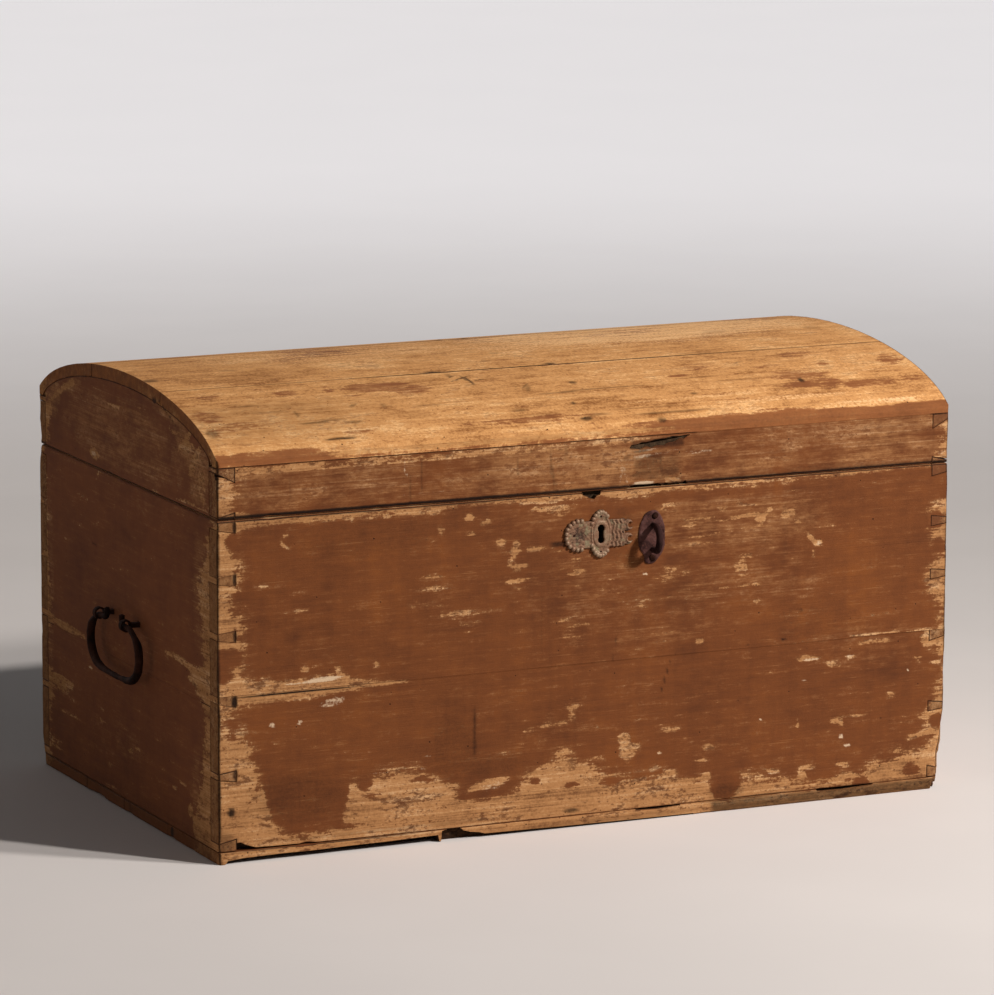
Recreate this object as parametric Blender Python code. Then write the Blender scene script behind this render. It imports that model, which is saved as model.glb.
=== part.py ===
"""Dome-topped storage chest of dovetailed pine boards, with forged and cast fittings.

Frame: +Z up, the front looks along -Y, the origin is the middle of the footprint on the floor.
Lengths are in metres. Every size is a named value here, and the pieces are worked out from them.
"""

import math

import bmesh
import bpy
from mathutils import Vector

# Box
LENGTH = 1.060
DEPTH = 0.640
RIM_HEIGHT = 0.447
SIDE_THICKNESS = 0.026
END_THICKNESS = 0.025
BOTTOM_THICKNESS = 0.016
BOTTOM_PLANK_JOINTS = (-0.145, 0.012, 0.150)
SIDE_JOINT_HEIGHT = 0.2195
END_JOINT_DROP = 0.0160
SEAT_GAP = 0.0003

# Lid
LID_GAP = 0.0006
SKIRT_HEIGHT = 0.0672
DOME_HEIGHT = 0.0777
DOME_EDGE_HEIGHT = 0.0087
DOME_SPREAD = 0.015
STAVE_THICKNESS = 0.018
FRONT_STAVE_SEAM = 0.128
REAR_STAVE_SEAM = 0.118
STAVE_ARC_STEPS = 8

# Dovetails: a pin is wide at its root and narrow at the corner of the chest
PIN_ROOT_WIDTH = 0.0146
PIN_TIP_WIDTH = 0.0085
RIM_HALF_PIN_ROOT = 0.0165
RIM_HALF_PIN_TIP = 0.0115
JOINT_HALF_PIN_ROOT = 0.0145
JOINT_HALF_PIN_TIP = 0.0087
FOOT_HALF_PIN_ROOT = 0.0165
FOOT_HALF_PIN_TIP = 0.0115
CROWN_HALF_PIN_ROOT = 0.0195
CROWN_HALF_PIN_TIP = 0.0065
SKIRT_HALF_PIN_ROOT = 0.0095
SKIRT_HALF_PIN_TIP = 0.0035
UPPER_PIN_SHARES = (0.34, 0.66)
LOWER_PIN_SHARE = 0.486

# Till: the small lidded box across the left end of the chest
TILL_WIDTH = 0.105
TILL_BELOW_RIM = 0.047
TILL_ABOVE_CLENCH = 0.0133
TILL_FLOOR_THICKNESS = 0.010
TILL_FRONT_THICKNESS = 0.012
TILL_FRONT_DROP = 0.012
TILL_GROOVE_DEPTH = 0.006
TILL_LID_THICKNESS = 0.010
TILL_LID_OVERHANG = 0.004
TILL_LID_END_GAP = 0.0015
TILL_PIN_RADIUS = 0.0025
TILL_PIN_IN_WALL = 0.008
TILL_PIN_IN_LID = 0.012
TILL_PIN_TO_END = 0.009
TILL_EDGE_BEHIND_PIN = 0.0055

# Keyhole and escutcheon
KEYHOLE_X = 0.0100
KEYHOLE_BELOW_RIM = 0.0565
KEYHOLE_LENGTH = 0.0250
KEYHOLE_HEAD_RADIUS = 0.0052
KEYHOLE_FOOT_SHARE = 0.92
KEYHOLE_WAIST_SHARE = 0.77
PLATE_THICKNESS = 0.0018
ESCUTCHEON_OVAL_WIDTH = 0.030
ESCUTCHEON_OVAL_HEIGHT = 0.058
ESCUTCHEON_LOBE_RADIUS = 0.0185
ESCUTCHEON_LOBE_OFFSET = 0.0290
ESCUTCHEON_BLOCK_END = 0.0350
ESCUTCHEON_BLOCK_HEIGHT = 0.0360
ESCUTCHEON_COLLAR_HEIGHT = 0.0012
ESCUTCHEON_COLLAR_MARGIN = 0.0030
ESCUTCHEON_BEAD_RADIUS = 0.0026
ESCUTCHEON_BEAD_GAP = 0.0003
ESCUTCHEON_RIDGE_WIDTH = 0.0028
ESCUTCHEON_RIDGE_WAVE = 0.0012
ESCUTCHEON_RIDGE_HEIGHT = 0.0012
ESCUTCHEON_HORN_RADIUS = 0.0078
ESCUTCHEON_HORN_BORE_SHARE = 0.51
ESCUTCHEON_HORN_GAP = 0.0024
ESCUTCHEON_RIDGES = 3
ESCUTCHEON_LEVEL_STEP = 0.00015
ESCUTCHEON_BEAD_SIDES = 8
ESCUTCHEON_BEAD_RINGS = 4
ESCUTCHEON_BEAD_LINE_STEPS = 320
ESCUTCHEON_LOBE_BEAD_ANGLES = (78, 282)
ESCUTCHEON_OVAL_BEAD_ANGLES = (58, 148)
ESCUTCHEON_RIDGE_SHARES = ((-0.8, -1), (-0.4, 1), (0, -1), (0.4, 1), (0.8, -1))

# Staple for a padlock, on its own leaf-shaped plate
STAPLE_FROM_LOCK = 0.0160
STAPLE_BELOW_RIM = 0.0665
STAPLE_LEG_SPACING = 0.0330
STAPLE_REACH = 0.0300
STAPLE_BAR_RADIUS = 0.0036
STAPLE_ARCH_SHARE = 0.394
STAPLE_CLENCH_LENGTH = 0.0180
STAPLE_CLENCH_OFFSET = 0.0022
STAPLE_BEND_RADIUS = 0.0050
STAPLE_PLATE_WIDTH = 0.0380
STAPLE_PLATE_HEIGHT = 0.0710
STAPLE_PLATE_SHARES = ((0.10, 0.50), (0.30, 0.42), (0.47, 0.22), (0.50, -0.02), (0.46, -0.24), (0.26, -0.40),
                       (0.04, -0.50), (-0.24, -0.47), (-0.30, -0.34), (-0.50, -0.14), (-0.50, 0.10),
                       (-0.42, 0.28), (-0.22, 0.46))

# Lock on the inner face of the front, its bolt and the catch on the lid
LOCK_WIDTH = 0.122
LOCK_X = 0.0080
LOCK_BELOW_RIM = 0.0065
LOCK_HEIGHT = 0.0935
LOCK_DEPTH = 0.020
LOCK_EDGE = 0.0015
BOLT_BELOW_LOCK_TOP = 0.0085
BOLT_WIDTH = 0.0080
BOLT_THICKNESS = 0.0050
BOLT_LENGTH = 0.0480
BOLT_TRAVEL = 0.0120
BOLT_PLAY = 0.0005
BOLT_TALON_WIDTH = 0.0100
BOLT_TALON_DROP = 0.0200
KEY_WELL_DEPTH = 0.0150
CATCH_X = 0.0330
CATCH_PRONG_WIDTH = 0.0050
CATCH_PRONG_DEPTH = 0.0130
CATCH_EYE_WALL = 0.0045
CATCH_PLATE_WIDTH = 0.0340
CATCH_PLATE_THICKNESS = 0.0025
CATCH_PLATE_HEIGHT = 0.0440
CATCH_ABOVE_SEAM = 0.0044
CATCH_SLOT_PLAY = 0.0012
CATCH_CANT = 0.0014

# Drop handles on the ends
BAIL_AXIS_HEIGHT = 0.2620
BAIL_STAND = 0.0190
BAIL_SHIFT = 0.0080
BAIL_WIDTH = 0.1780
BAIL_DROP = 0.0730
BAIL_BAR_RADIUS = 0.0056
BAIL_TIP_RADIUS = 0.0038
BAIL_TIP_INSET_SHARE = 0.348
BAIL_TIP_RISE = 0.0125
BAIL_TIP_BEND = 0.0060
BAIL_TOP_BEND_SHARE = 0.135
BAIL_FOOT_BEND_SHARE = 0.112
EYE_SPACING_SHARE = 0.528
EYE_WIDTH = 0.0090
EYE_RADIUS = 0.0085
EYE_BORE = 0.0056
EYE_SHANK = 0.0064
EYE_CLENCH_LENGTH = 0.0200
EYE_CLENCH_THICKNESS = 0.0030

# Strap hinges on the back
HINGE_X = 0.3300
HINGE_KNUCKLE_RADIUS = 0.0065
HINGE_PIN_RADIUS = 0.0030
HINGE_PIN_PLAY = 0.0003
HINGE_PIN_OVERHANG = 0.0020
HINGE_STRAP_THICKNESS = 0.0030
HINGE_STRAP_WIDTH = 0.0360
HINGE_STRAP_WAIST = 0.0200
HINGE_STRAP_FINIAL = 0.0300
HINGE_MIDDLE_KNUCKLE = 0.0160
HINGE_KNUCKLE_PLAY = 0.0005
HINGE_LEAF_CLEARANCE = 0.0013
HINGE_STRAP_PAST_JOINT = 0.0600
HINGE_LID_STRAP_LENGTH = 0.0590
STRAP_WAIST_SHARE = 2.4
STRAP_LEAF_SHARE = 1.3
STRAP_POINT_WIDTH_SHARE = 0.75
STRAP_POINT_HEIGHT_SHARE = 0.5

OVERRUN = 0.004
ROUND_STEPS = 16
BEND_STEPS = 6
LEAF_STEPS = 3
SMOOTH_ANGLE = 35

# Colours are linear; roughness and metallic value follow
FINISHES = {
    "painted_pine": ((0.178, 0.062, 0.024), 0.62, 0.0),
    "bare_pine": ((0.470, 0.262, 0.110), 0.58, 0.0),
    "inner_pine": ((0.430, 0.270, 0.130), 0.70, 0.0),
    "wrought_iron": ((0.052, 0.030, 0.026), 0.55, 0.85),
    "cast_plate": ((0.160, 0.120, 0.072), 0.60, 0.60),
}

HALF_LENGTH = LENGTH / 2
HALF_DEPTH = DEPTH / 2
INNER_HALF_LENGTH = HALF_LENGTH - END_THICKNESS
INNER_HALF_DEPTH = HALF_DEPTH - SIDE_THICKNESS
BOX_FOOT = BOTTOM_THICKNESS + SEAT_GAP
LID_FOOT = RIM_HEIGHT + LID_GAP
SKIRT_TOP = LID_FOOT + SKIRT_HEIGHT
DOME_HALF_SPAN = HALF_DEPTH + DOME_SPREAD
DOME_RISE = (DOME_HEIGHT - DOME_EDGE_HEIGHT) / (1 - math.sqrt(1 - (HALF_DEPTH / DOME_HALF_SPAN) ** 2))
DOME_BASE = SKIRT_TOP + DOME_HEIGHT - DOME_RISE
END_JOINT_HEIGHT = SIDE_JOINT_HEIGHT - END_JOINT_DROP
FRONT_FACE = -HALF_DEPTH
FRONT_INNER_FACE = -INNER_HALF_DEPTH
HINGE_AXIS_Y = HALF_DEPTH + SEAT_GAP + HINGE_KNUCKLE_RADIUS
HINGE_AXIS_Z = RIM_HEIGHT + LID_GAP / 2
HINGE_ORIGIN = (0.0, HINGE_AXIS_Y, HINGE_AXIS_Z)
HINGE_LEAF_START = HINGE_KNUCKLE_RADIUS + HINGE_LEAF_CLEARANCE
HINGE_BOX_STRAP_LENGTH = HINGE_AXIS_Z - SIDE_JOINT_HEIGHT + HINGE_STRAP_PAST_JOINT
KEYHOLE_HEIGHT = RIM_HEIGHT - KEYHOLE_BELOW_RIM
LOCK_TOP = RIM_HEIGHT - LOCK_BELOW_RIM
BOLT_HEIGHT = LOCK_TOP - BOLT_BELOW_LOCK_TOP
STAPLE_X = LOCK_X + LOCK_WIDTH / 2 + STAPLE_FROM_LOCK
STAPLE_HEIGHT = RIM_HEIGHT - STAPLE_BELOW_RIM
STAPLE_LEG_HEIGHTS = (STAPLE_HEIGHT + STAPLE_LEG_SPACING / 2, STAPLE_HEIGHT - STAPLE_LEG_SPACING / 2)
EYE_HEIGHT = BAIL_AXIS_HEIGHT + EYE_BORE - BAIL_TIP_RADIUS - SEAT_GAP
EYE_CLENCH_TIP = EYE_SHANK / 2 + EYE_CLENCH_LENGTH
TILL_TOP = RIM_HEIGHT - TILL_BELOW_RIM
TILL_FLOOR_HEIGHT = EYE_HEIGHT + EYE_CLENCH_TIP + TILL_ABOVE_CLENCH

materials = {}


# Scene and object helpers

def clear_scene():
    """Remove every object that the file starts with."""
    for item in list(bpy.data.objects):
        bpy.data.objects.remove(item, do_unlink=True)


def finish(name):
    """Return the material of that name, made on its first use."""
    if name not in materials:
        colour, roughness, metallic = FINISHES[name]
        material = bpy.data.materials.new(name)
        material.use_nodes = True
        shader = material.node_tree.nodes["Principled BSDF"]
        shader.inputs["Base Color"].default_value = (*colour, 1.0)
        shader.inputs["Roughness"].default_value = roughness
        shader.inputs["Metallic"].default_value = metallic
        materials[name] = material
    return materials[name]


def add_object(name, data, finish_name, origin=(0.0, 0.0, 0.0)):
    """Link a mesh or curve into the scene at its origin, with its own copy of a finish."""
    item = bpy.data.objects.new(name, data)
    item.location = origin
    bpy.context.scene.collection.objects.link(item)
    material = finish(finish_name).copy()
    material.name = name + "_" + finish_name
    data.materials.append(material)
    return item


def mesh_from(bm, name, origin=(0.0, 0.0, 0.0)):
    """Turn a bmesh in world coordinates into a mesh measured from the origin given."""
    bmesh.ops.translate(bm, verts=bm.verts, vec=-Vector(origin))
    bmesh.ops.recalc_face_normals(bm, faces=bm.faces)
    mesh = bpy.data.meshes.new(name)
    bm.to_mesh(mesh)
    bm.free()
    return mesh


def add_piece(name, bm, finish_name, origin=(0.0, 0.0, 0.0), smooth=False):
    """Make a piece of the chest from a bmesh; a smooth piece has round surfaces."""
    item = add_object(name, mesh_from(bm, name, origin), finish_name, origin)
    if smooth:
        item.data.shade_smooth()
        item.data.set_sharp_from_angle(angle=math.radians(SMOOTH_ANGLE))
    return item


def add_tool(name, bm):
    """Make a hidden solid that a Boolean modifier uses."""
    item = bpy.data.objects.new(name, mesh_from(bm, name))
    item.hide_render = True
    item.display_type = "WIRE"
    bpy.context.scene.collection.objects.link(item)
    return item


def combine(item, tool, operation):
    """Add a Boolean modifier that joins, cuts or trims an object with a tool."""
    modifier = item.modifiers.new(tool.name, "BOOLEAN")
    modifier.operation = operation
    modifier.object = tool
    modifier.solver = "EXACT"


# Solids from outlines

def point_on(axis, across, up, along):
    """Return the point of an outline that lies square to an axis, at a place along that axis."""
    if axis == "x":
        return Vector((along, across, up))
    if axis == "y":
        return Vector((across, along, up))
    return Vector((across, up, along))


def loft(axis, outline_start, start, outline_end, end):
    """Make a solid between two outlines with as many points, square to an axis."""
    bm = bmesh.new()
    first = [bm.verts.new(point_on(axis, across, up, start)) for across, up in outline_start]
    last = [bm.verts.new(point_on(axis, across, up, end)) for across, up in outline_end]
    bm.faces.new(first)
    bm.faces.new(last)
    count = len(first)
    for index in range(count):
        after = (index + 1) % count
        bm.faces.new((first[index], first[after], last[after], last[index]))
    return bm


def prism(axis, outline, start, end):
    """Extrude an outline along an axis."""
    return loft(axis, outline, start, outline, end)


def block(low, high):
    """Make a box between two corners."""
    outline = [(low[0], low[1]), (high[0], low[1]), (high[0], high[1]), (low[0], high[1])]
    return prism("z", outline, low[2], high[2])


def arc(centre, radius, start, end, steps):
    """Return points of an arc between two angles in degrees, both ends with it."""
    points = []
    for step in range(steps + 1):
        angle = math.radians(start + (end - start) * step / steps)
        points.append((centre[0] + radius * math.cos(angle), centre[1] + radius * math.sin(angle)))
    return points


def ellipse(centre, half_width, half_height, steps):
    """Return the points of a closed ellipse."""
    points = []
    for step in range(steps):
        angle = 2 * math.pi * step / steps
        points.append((centre[0] + half_width * math.cos(angle), centre[1] + half_height * math.sin(angle)))
    return points


def rod(axis, centre, radius, start, end):
    """Make a round rod along an axis."""
    return prism(axis, ellipse(centre, radius, radius, ROUND_STEPS), start, end)


def smooth_loop(points):
    """Return a closed curve through the points given."""
    count = len(points)
    curve = []
    for index in range(count):
        a, b, c, d = (Vector(points[(index + shift) % count]) for shift in (-1, 0, 1, 2))
        for step in range(LEAF_STEPS):
            t = step / LEAF_STEPS
            curve.append(tuple(0.5 * (2 * b + (c - a) * t + (2 * a - 5 * b + 4 * c - d) * t ** 2
                                      + (3 * b - a - 3 * c + d) * t ** 3)))
    return curve


def bent_path(corners, bends):
    """Round the inner corners of a path of straight runs, each to its own bend radius."""
    path = [Vector(corners[0])]
    for index in range(1, len(corners) - 1):
        here = Vector(corners[index])
        back = (Vector(corners[index - 1]) - here).normalized()
        ahead = (Vector(corners[index + 1]) - here).normalized()
        half_angle = back.angle(ahead) / 2
        radius = bends[index - 1]
        run = radius / math.tan(half_angle)
        centre = here + (back + ahead).normalized() * radius / math.sin(half_angle)
        start = (here + back * run - centre).normalized()
        end = (here + ahead * run - centre).normalized()
        for step in range(BEND_STEPS + 1):
            path.append(centre + start.slerp(end, step / BEND_STEPS) * radius)
    path.append(Vector(corners[-1]))
    return path


def bar(name, path, radii, finish_name, origin):
    """Make a round bar along a path, its radius given at each point."""
    curve = bpy.data.curves.new(name, "CURVE")
    curve.dimensions = "3D"
    curve.bevel_depth = max(radii)
    curve.bevel_resolution = 2
    curve.use_fill_caps = True
    spline = curve.splines.new("POLY")
    spline.points.add(len(path) - 1)
    for point, place, radius in zip(spline.points, path, radii):
        point.co = (*(place - Vector(origin)), 1.0)
        point.radius = radius / curve.bevel_depth
    return add_object(name, curve, finish_name, origin)


# Dovetailed boards

def half_pin_below(edge, root, tip):
    """Return a half pin under a straight edge: its low and high at the root, then at the tip."""
    return (edge - root, edge, edge - tip, edge)


def half_pin_above(edge, root, tip):
    """Return a half pin that stands on a straight edge."""
    return (edge, edge + root, edge, edge + tip)


def full_pin(low, high, share):
    """Return a whole pin at a share of the way from one height to another."""
    height = low + (high - low) * share
    return (height - PIN_ROOT_WIDTH / 2, height + PIN_ROOT_WIDTH / 2,
            height - PIN_TIP_WIDTH / 2, height + PIN_TIP_WIDTH / 2)


LOWER_PINS = [half_pin_above(BOX_FOOT, FOOT_HALF_PIN_ROOT, FOOT_HALF_PIN_TIP),
              full_pin(BOX_FOOT, SIDE_JOINT_HEIGHT, LOWER_PIN_SHARE)]
JOINT_PIN = half_pin_below(SIDE_JOINT_HEIGHT, JOINT_HALF_PIN_ROOT, JOINT_HALF_PIN_TIP)
UPPER_PINS = [full_pin(SIDE_JOINT_HEIGHT, RIM_HEIGHT, share) for share in UPPER_PIN_SHARES]
UPPER_PINS.append(half_pin_below(RIM_HEIGHT, RIM_HALF_PIN_ROOT, RIM_HALF_PIN_TIP))
LID_PINS = [half_pin_above(LID_FOOT, SKIRT_HALF_PIN_ROOT, SKIRT_HALF_PIN_TIP),
            half_pin_below(SKIRT_TOP, CROWN_HALF_PIN_ROOT, CROWN_HALF_PIN_TIP)]


def tail_side(low, high, pins):
    """Return the right-hand edge of a tail board, from its low to its high corner."""
    root = INNER_HALF_LENGTH - SEAT_GAP
    edge = []
    for root_low, root_high, tip_low, tip_high in pins:
        if root_low <= low:
            edge.append((root, low))
        else:
            edge.append((HALF_LENGTH, tip_low - SEAT_GAP))
            edge.append((root, root_low - SEAT_GAP))
        if root_high >= high:
            edge.append((root, high))
        else:
            edge.append((root, root_high + SEAT_GAP))
            edge.append((HALF_LENGTH, tip_high + SEAT_GAP))
    if pins[0][0] > low:
        edge.insert(0, (HALF_LENGTH, low))
    if pins[-1][1] < high:
        edge.append((HALF_LENGTH, high))
    return edge


def tail_board(name, front, low, high, pins, origin=(0.0, 0.0, 0.0)):
    """Make a front or back board whose ends are cut into tails between the pins."""
    right = tail_side(low, high, pins)
    left = [(-across, up) for across, up in reversed(right)]
    outer, inner = (-HALF_DEPTH, -INNER_HALF_DEPTH) if front else (HALF_DEPTH, INNER_HALF_DEPTH)
    return add_piece(name, prism("y", right + left, outer, inner), "painted_pine", origin)


def comb_side(pins, tips):
    """Return the rear edge of an end board: a step out and in again for each pin."""
    body = INNER_HALF_DEPTH - SEAT_GAP
    edge = []
    for pin in pins:
        low, high = pin[2:] if tips else pin[:2]
        edge += [(body, low), (HALF_DEPTH, low), (HALF_DEPTH, high), (body, high)]
    return edge


def end_board(name, right_end, low, high, pins, top=None, origin=(0.0, 0.0, 0.0)):
    """Make an end board with its pins, which taper to the outer face; top is an arched edge or none."""
    body = INNER_HALF_DEPTH - SEAT_GAP
    outlines = []
    for tips in (False, True):
        rear = comb_side(pins, tips)
        if pins[0][0] > low:
            rear.insert(0, (body, low))
        elif pins[0][0] == low:
            rear.pop(0)
        if top is None and pins[-1][1] < high:
            rear.append((body, high))
        elif top is None:
            rear.pop()
        front = [(-across, up) for across, up in reversed(rear)]
        outlines.append(rear + (top or []) + front)
    side = 1 if right_end else -1
    bm = loft("x", outlines[0], side * INNER_HALF_LENGTH, outlines[1], side * HALF_LENGTH)
    return add_piece(name, bm, "painted_pine", origin)


# The box

def build_box_boards():
    """Build the four dovetailed walls, each of two boards edge to edge."""
    joint = SIDE_JOINT_HEIGHT
    for name, front in (("front", True), ("back", False)):
        tail_board(name + "_upper_board", front, joint + SEAT_GAP, RIM_HEIGHT, UPPER_PINS)
        tail_board(name + "_lower_board", front, BOX_FOOT, joint, LOWER_PINS + [JOINT_PIN])
    for name, right_end in (("left", False), ("right", True)):
        end_board(name + "_end_upper_board", right_end, END_JOINT_HEIGHT, RIM_HEIGHT,
                  [JOINT_PIN] + UPPER_PINS)
        end_board(name + "_end_lower_board", right_end, BOX_FOOT, END_JOINT_HEIGHT - SEAT_GAP, LOWER_PINS)


def build_bottom():
    """Lay the bottom planks side by side under the walls, running the length of the chest."""
    fronts = [-HALF_DEPTH] + [joint + SEAT_GAP / 2 for joint in BOTTOM_PLANK_JOINTS]
    backs = [joint - SEAT_GAP / 2 for joint in BOTTOM_PLANK_JOINTS] + [HALF_DEPTH]
    for number, (front, back) in enumerate(zip(fronts, backs), start=1):
        bm = block((-HALF_LENGTH, front, 0), (HALF_LENGTH, back, BOTTOM_THICKNESS))
        add_piece("bottom_plank_" + str(number), bm, "bare_pine")


def build_till():
    """Build the till: its front and floor are let into grooves, its lid turns on two wooden pins."""
    wall = -INNER_HALF_LENGTH
    groove_end = INNER_HALF_DEPTH + TILL_GROOVE_DEPTH - SEAT_GAP
    front_near = wall + TILL_WIDTH
    front_far = front_near + TILL_FRONT_THICKNESS
    front_foot = TILL_FLOOR_HEIGHT - TILL_FRONT_DROP
    floor_top = TILL_FLOOR_HEIGHT + TILL_FLOOR_THICKNESS
    add_piece("till_front", block((front_near, -groove_end, front_foot), (front_far, groove_end, TILL_TOP)),
              "inner_pine")
    add_piece("till_floor", block((wall + SEAT_GAP, -groove_end, TILL_FLOOR_HEIGHT),
                                  (front_near - SEAT_GAP, groove_end, floor_top)), "inner_pine")

    half = TILL_LID_THICKNESS / 2
    axis_x = wall + TILL_PIN_TO_END
    axis_z = TILL_TOP + SEAT_GAP + half
    outline = arc((axis_x - TILL_EDGE_BEHIND_PIN + half, axis_z), half, 90, 270, ROUND_STEPS // 2)
    lid_edge = front_far + TILL_LID_OVERHANG
    outline += [(lid_edge, axis_z - half), (lid_edge, axis_z + half)]
    reach = INNER_HALF_DEPTH - TILL_LID_END_GAP
    lid = add_piece("till_lid", prism("y", outline, -reach, reach), "inner_pine", (axis_x, 0, axis_z),
                    smooth=True)

    seats = TILL_GROOVE_DEPTH + INNER_HALF_DEPTH
    grooves = {
        "till_front_groove": block((front_near - SEAT_GAP, -seats, front_foot - SEAT_GAP),
                                   (front_far + SEAT_GAP, seats, TILL_TOP + SEAT_GAP)),
        "till_floor_groove": block((wall - SEAT_GAP, -seats, TILL_FLOOR_HEIGHT - SEAT_GAP),
                                   (front_near - SEAT_GAP / 2, seats, floor_top + SEAT_GAP)),
    }
    for name, bm in grooves.items():
        tool = add_tool(name, bm)
        for board in ("front_upper_board", "back_upper_board"):
            combine(bpy.data.objects[board], tool, "DIFFERENCE")

    for place, side in (("front", -1), ("back", 1)):
        outer = side * (INNER_HALF_DEPTH + TILL_PIN_IN_WALL)
        inner = side * (reach - TILL_PIN_IN_LID)
        pin = rod("y", (axis_x, axis_z), TILL_PIN_RADIUS, inner, outer)
        add_piece("till_lid_" + place + "_pin", pin, "inner_pine", (axis_x, inner, axis_z), smooth=True)
        bore = rod("y", (axis_x, axis_z), TILL_PIN_RADIUS + SEAT_GAP, inner - side * SEAT_GAP,
                   outer + side * SEAT_GAP)
        tool = add_tool("till_" + place + "_pin_bore", bore)
        combine(lid, tool, "DIFFERENCE")
        combine(bpy.data.objects[place + "_upper_board"], tool, "DIFFERENCE")


# The lid

def dome_height(across, inset):
    """Return the height of the dome over a place across the lid, sunk by an inset."""
    share = across / (DOME_HALF_SPAN - inset)
    return DOME_BASE + (DOME_RISE - inset) * math.sqrt(1 - share ** 2)


def dome_line(start, end, inset, steps):
    """Return points along the dome between two places across the lid."""
    places = [start + (end - start) * step / steps for step in range(steps + 1)]
    return [(place, dome_height(place, inset)) for place in places]


def dome_foot(height, inset):
    """Return how far out from the middle the dome comes down to a height."""
    share = (height - DOME_BASE) / (DOME_RISE - inset)
    return (DOME_HALF_SPAN - inset) * math.sqrt(1 - share ** 2)


def arch_below(underside, shoulder):
    """Return the arched edge that carries the staves, from its rear shoulder to its front one."""
    arch = []
    for (y, z), (next_y, next_z) in zip(underside, underside[1:]):
        for end in (-shoulder, shoulder):
            if y < end <= next_y:
                arch.append((end, z + (next_z - z) * (end - y) / (next_y - y) - SEAT_GAP))
        if abs(next_y) < shoulder:
            arch.append((next_y, next_z - SEAT_GAP))
    return sorted(arch, reverse=True)


def build_lid_boards():
    """Build the dovetailed skirt of the lid and the staves that close its dome."""
    for name, front in (("front", True), ("back", False)):
        tail_board("lid_" + name + "_board", front, LID_FOOT, SKIRT_TOP, LID_PINS, HINGE_ORIGIN)
    seat = SKIRT_TOP + SEAT_GAP
    foot = dome_foot(seat, STAVE_THICKNESS)
    gap = SEAT_GAP / 2
    spans = {
        "lid_front_stave": (-HALF_DEPTH, -FRONT_STAVE_SEAM - gap, -foot, -FRONT_STAVE_SEAM - gap),
        "lid_middle_stave": (-FRONT_STAVE_SEAM + gap, REAR_STAVE_SEAM - gap) * 2,
        "lid_rear_stave": (REAR_STAVE_SEAM + gap, HALF_DEPTH, REAR_STAVE_SEAM + gap, foot),
    }
    for name, (outer_start, outer_end, inner_start, inner_end) in spans.items():
        outline = dome_line(outer_start, outer_end, 0, STAVE_ARC_STEPS)
        if outer_end == HALF_DEPTH:
            outline.append((HALF_DEPTH, seat))
        outline += dome_line(inner_end, inner_start, STAVE_THICKNESS, STAVE_ARC_STEPS)
        if outer_start == -HALF_DEPTH:
            outline.append((-HALF_DEPTH, seat))
        bm = prism("x", outline, -HALF_LENGTH, HALF_LENGTH)
        add_piece(name, bm, "bare_pine", HINGE_ORIGIN, smooth=True)

    underside = []
    for _, _, inner_start, inner_end in spans.values():
        underside += dome_line(inner_start, inner_end, STAVE_THICKNESS, STAVE_ARC_STEPS)
    arch = arch_below(underside, INNER_HALF_DEPTH - SEAT_GAP)
    for name, right_end in (("left", False), ("right", True)):
        end_board("lid_" + name + "_end", right_end, LID_FOOT, SKIRT_TOP, LID_PINS, arch, HINGE_ORIGIN)


# Keyhole, escutcheon and staple

def keyhole_outline():
    """Return a keyhole, round at both ends with straight sides between."""
    foot_radius = KEYHOLE_HEAD_RADIUS * KEYHOLE_FOOT_SHARE
    head = KEYHOLE_HEIGHT + KEYHOLE_LENGTH / 2 - KEYHOLE_HEAD_RADIUS
    foot = KEYHOLE_HEIGHT - KEYHOLE_LENGTH / 2 + foot_radius
    head_angle = math.degrees(math.acos(KEYHOLE_WAIST_SHARE))
    foot_angle = math.degrees(math.acos(KEYHOLE_WAIST_SHARE / KEYHOLE_FOOT_SHARE))
    points = arc((KEYHOLE_X, head), KEYHOLE_HEAD_RADIUS, -head_angle, 180 + head_angle, ROUND_STEPS)
    points += arc((KEYHOLE_X, foot), foot_radius, 180 - foot_angle, 360 + foot_angle, ROUND_STEPS)
    return points


def beads_along(line, height):
    """Make a row of round beads half sunk in a plate, evenly spaced along a line of points."""
    bm = bmesh.new()
    spacing = 2 * ESCUTCHEON_BEAD_RADIUS + ESCUTCHEON_BEAD_GAP
    places = [Vector(line[0])]
    for point in line:
        if (Vector(point) - places[-1]).length >= spacing:
            places.append(Vector(point))
    for across, up in places:
        made = bmesh.ops.create_uvsphere(bm, u_segments=ESCUTCHEON_BEAD_SIDES,
                                         v_segments=ESCUTCHEON_BEAD_RINGS, radius=ESCUTCHEON_BEAD_RADIUS)
        bmesh.ops.translate(bm, verts=made["verts"], vec=(across, height, up))
    return bm


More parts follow.
